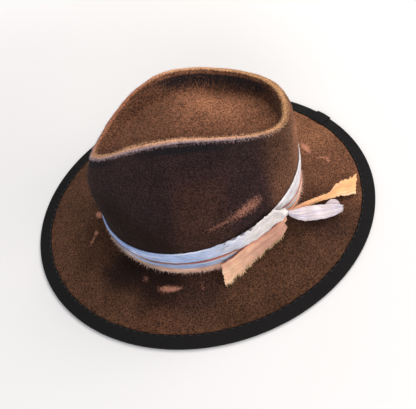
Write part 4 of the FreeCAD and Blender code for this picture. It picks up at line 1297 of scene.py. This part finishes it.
def make_camera():
    data = bpy.data.cameras.new("camera")
    data.lens, data.sensor_width = CAMERA_LENS, 36.0
    data.shift_x, data.shift_y = CAMERA_SHIFT
    camera = add_to_scene("camera", data)
    back = heading(CAMERA_AZIMUTH, CAMERA_ELEVATION)
    aim(camera, back * CAMERA_DISTANCE, back, CAMERA_ROLL)
    bpy.context.scene.camera = camera


def area_light(name, azimuth, elevation, distance, size, power, colour):
    data = bpy.data.lights.new(name, "AREA")
    data.shape, data.size, data.energy, data.color = "DISK", size, power, colour
    light = add_to_scene(name, data)
    back = heading(math.radians(azimuth), math.radians(elevation))
    aim(light, back * distance, back)


def make_world():
    """Soft daylight on the hat; the backdrop itself is seen as near white."""
    world = bpy.data.worlds.new("daylight")
    world.use_nodes = True
    tree = world.node_tree
    daylight = tree.nodes["Background"]
    daylight.inputs["Color"].default_value = (0.93, 0.96, 1.0, 1)
    daylight.inputs["Strength"].default_value = 0.62
    backdrop = tree.nodes.new("ShaderNodeBackground")
    backdrop.inputs["Color"].default_value = (0.93, 0.92, 0.91, 1)
    seen = tree.nodes.new("ShaderNodeLightPath")
    choice = tree.nodes.new("ShaderNodeMixShader")
    tree.links.new(seen.outputs["Is Camera Ray"], choice.inputs[0])
    tree.links.new(daylight.outputs[0], choice.inputs[1])
    tree.links.new(backdrop.outputs[0], choice.inputs[2])
    tree.links.new(choice.outputs[0], tree.nodes["World Output"].inputs["Surface"])
    bpy.context.scene.world = world


def make_studio():
    count = 24
    places = np.linspace(-FLOOR_HALF_SIDE, FLOOR_HALF_SIDE, count)
    points = xyz(*np.meshgrid(places, places), -FLOOR_DROP).reshape(-1, 3)
    make_object("floor", points, grid_faces(count, count), floor_material(), None)
    make_world()
    for lamp in LAMPS:
        area_light(*lamp)
    bpy.context.scene.view_settings.view_transform = "Standard"


# ---------------------------------------------------------------- put together
def finish_cad_pieces(ribbon):
    """Better materials for the CAD parts whose shape is already right."""
    looks = {"sweatband": leather_material(), "sweatband_reed": reed_material()}
    looks["sweatband_seam_tape"] = ribbon
    for name, material in looks.items():
        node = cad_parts[name]
        node.data.materials.clear()
        node.data.materials.append(material)


ribbon, black_thread = grosgrain_material(), thread_material("black_thread", linear(34, 31, 30))
pale_thread = thread_material("pale_thread", linear(206, 196, 180))
# each cloth's second colour is painted shade in its folds, the third a painted highlight along them
white_cloth = muslin_material("white_muslin", linear(128, 138, 184), linear(238, 234, 236))
knot_cloth = muslin_material("white_muslin_knot", linear(184, 178, 186), linear(244, 238, 232))
peach_cloth = muslin_material("peach_muslin", linear(204, 138, 110), linear(244, 206, 170))
loose_thread = fibre_material()

felt_nap(*felt_body())
brim_binding(ribbon)
binding_lap(ribbon)
binding_stitching(black_thread)
white_strips(white_cloth)
peach_strips(peach_cloth)
band_fringe(loose_thread)
band_tacks(pale_thread)
white_hitch(knot_cloth)
knots(knot_cloth, peach_cloth)
front_end(peach_cloth, loose_thread)
white_end(white_cloth, loose_thread)
rear_end(peach_cloth, loose_thread)
sweatband_stitching(pale_thread)
sweatband_bow(ribbon)
finish_cad_pieces(ribbon)
make_camera()
make_studio()
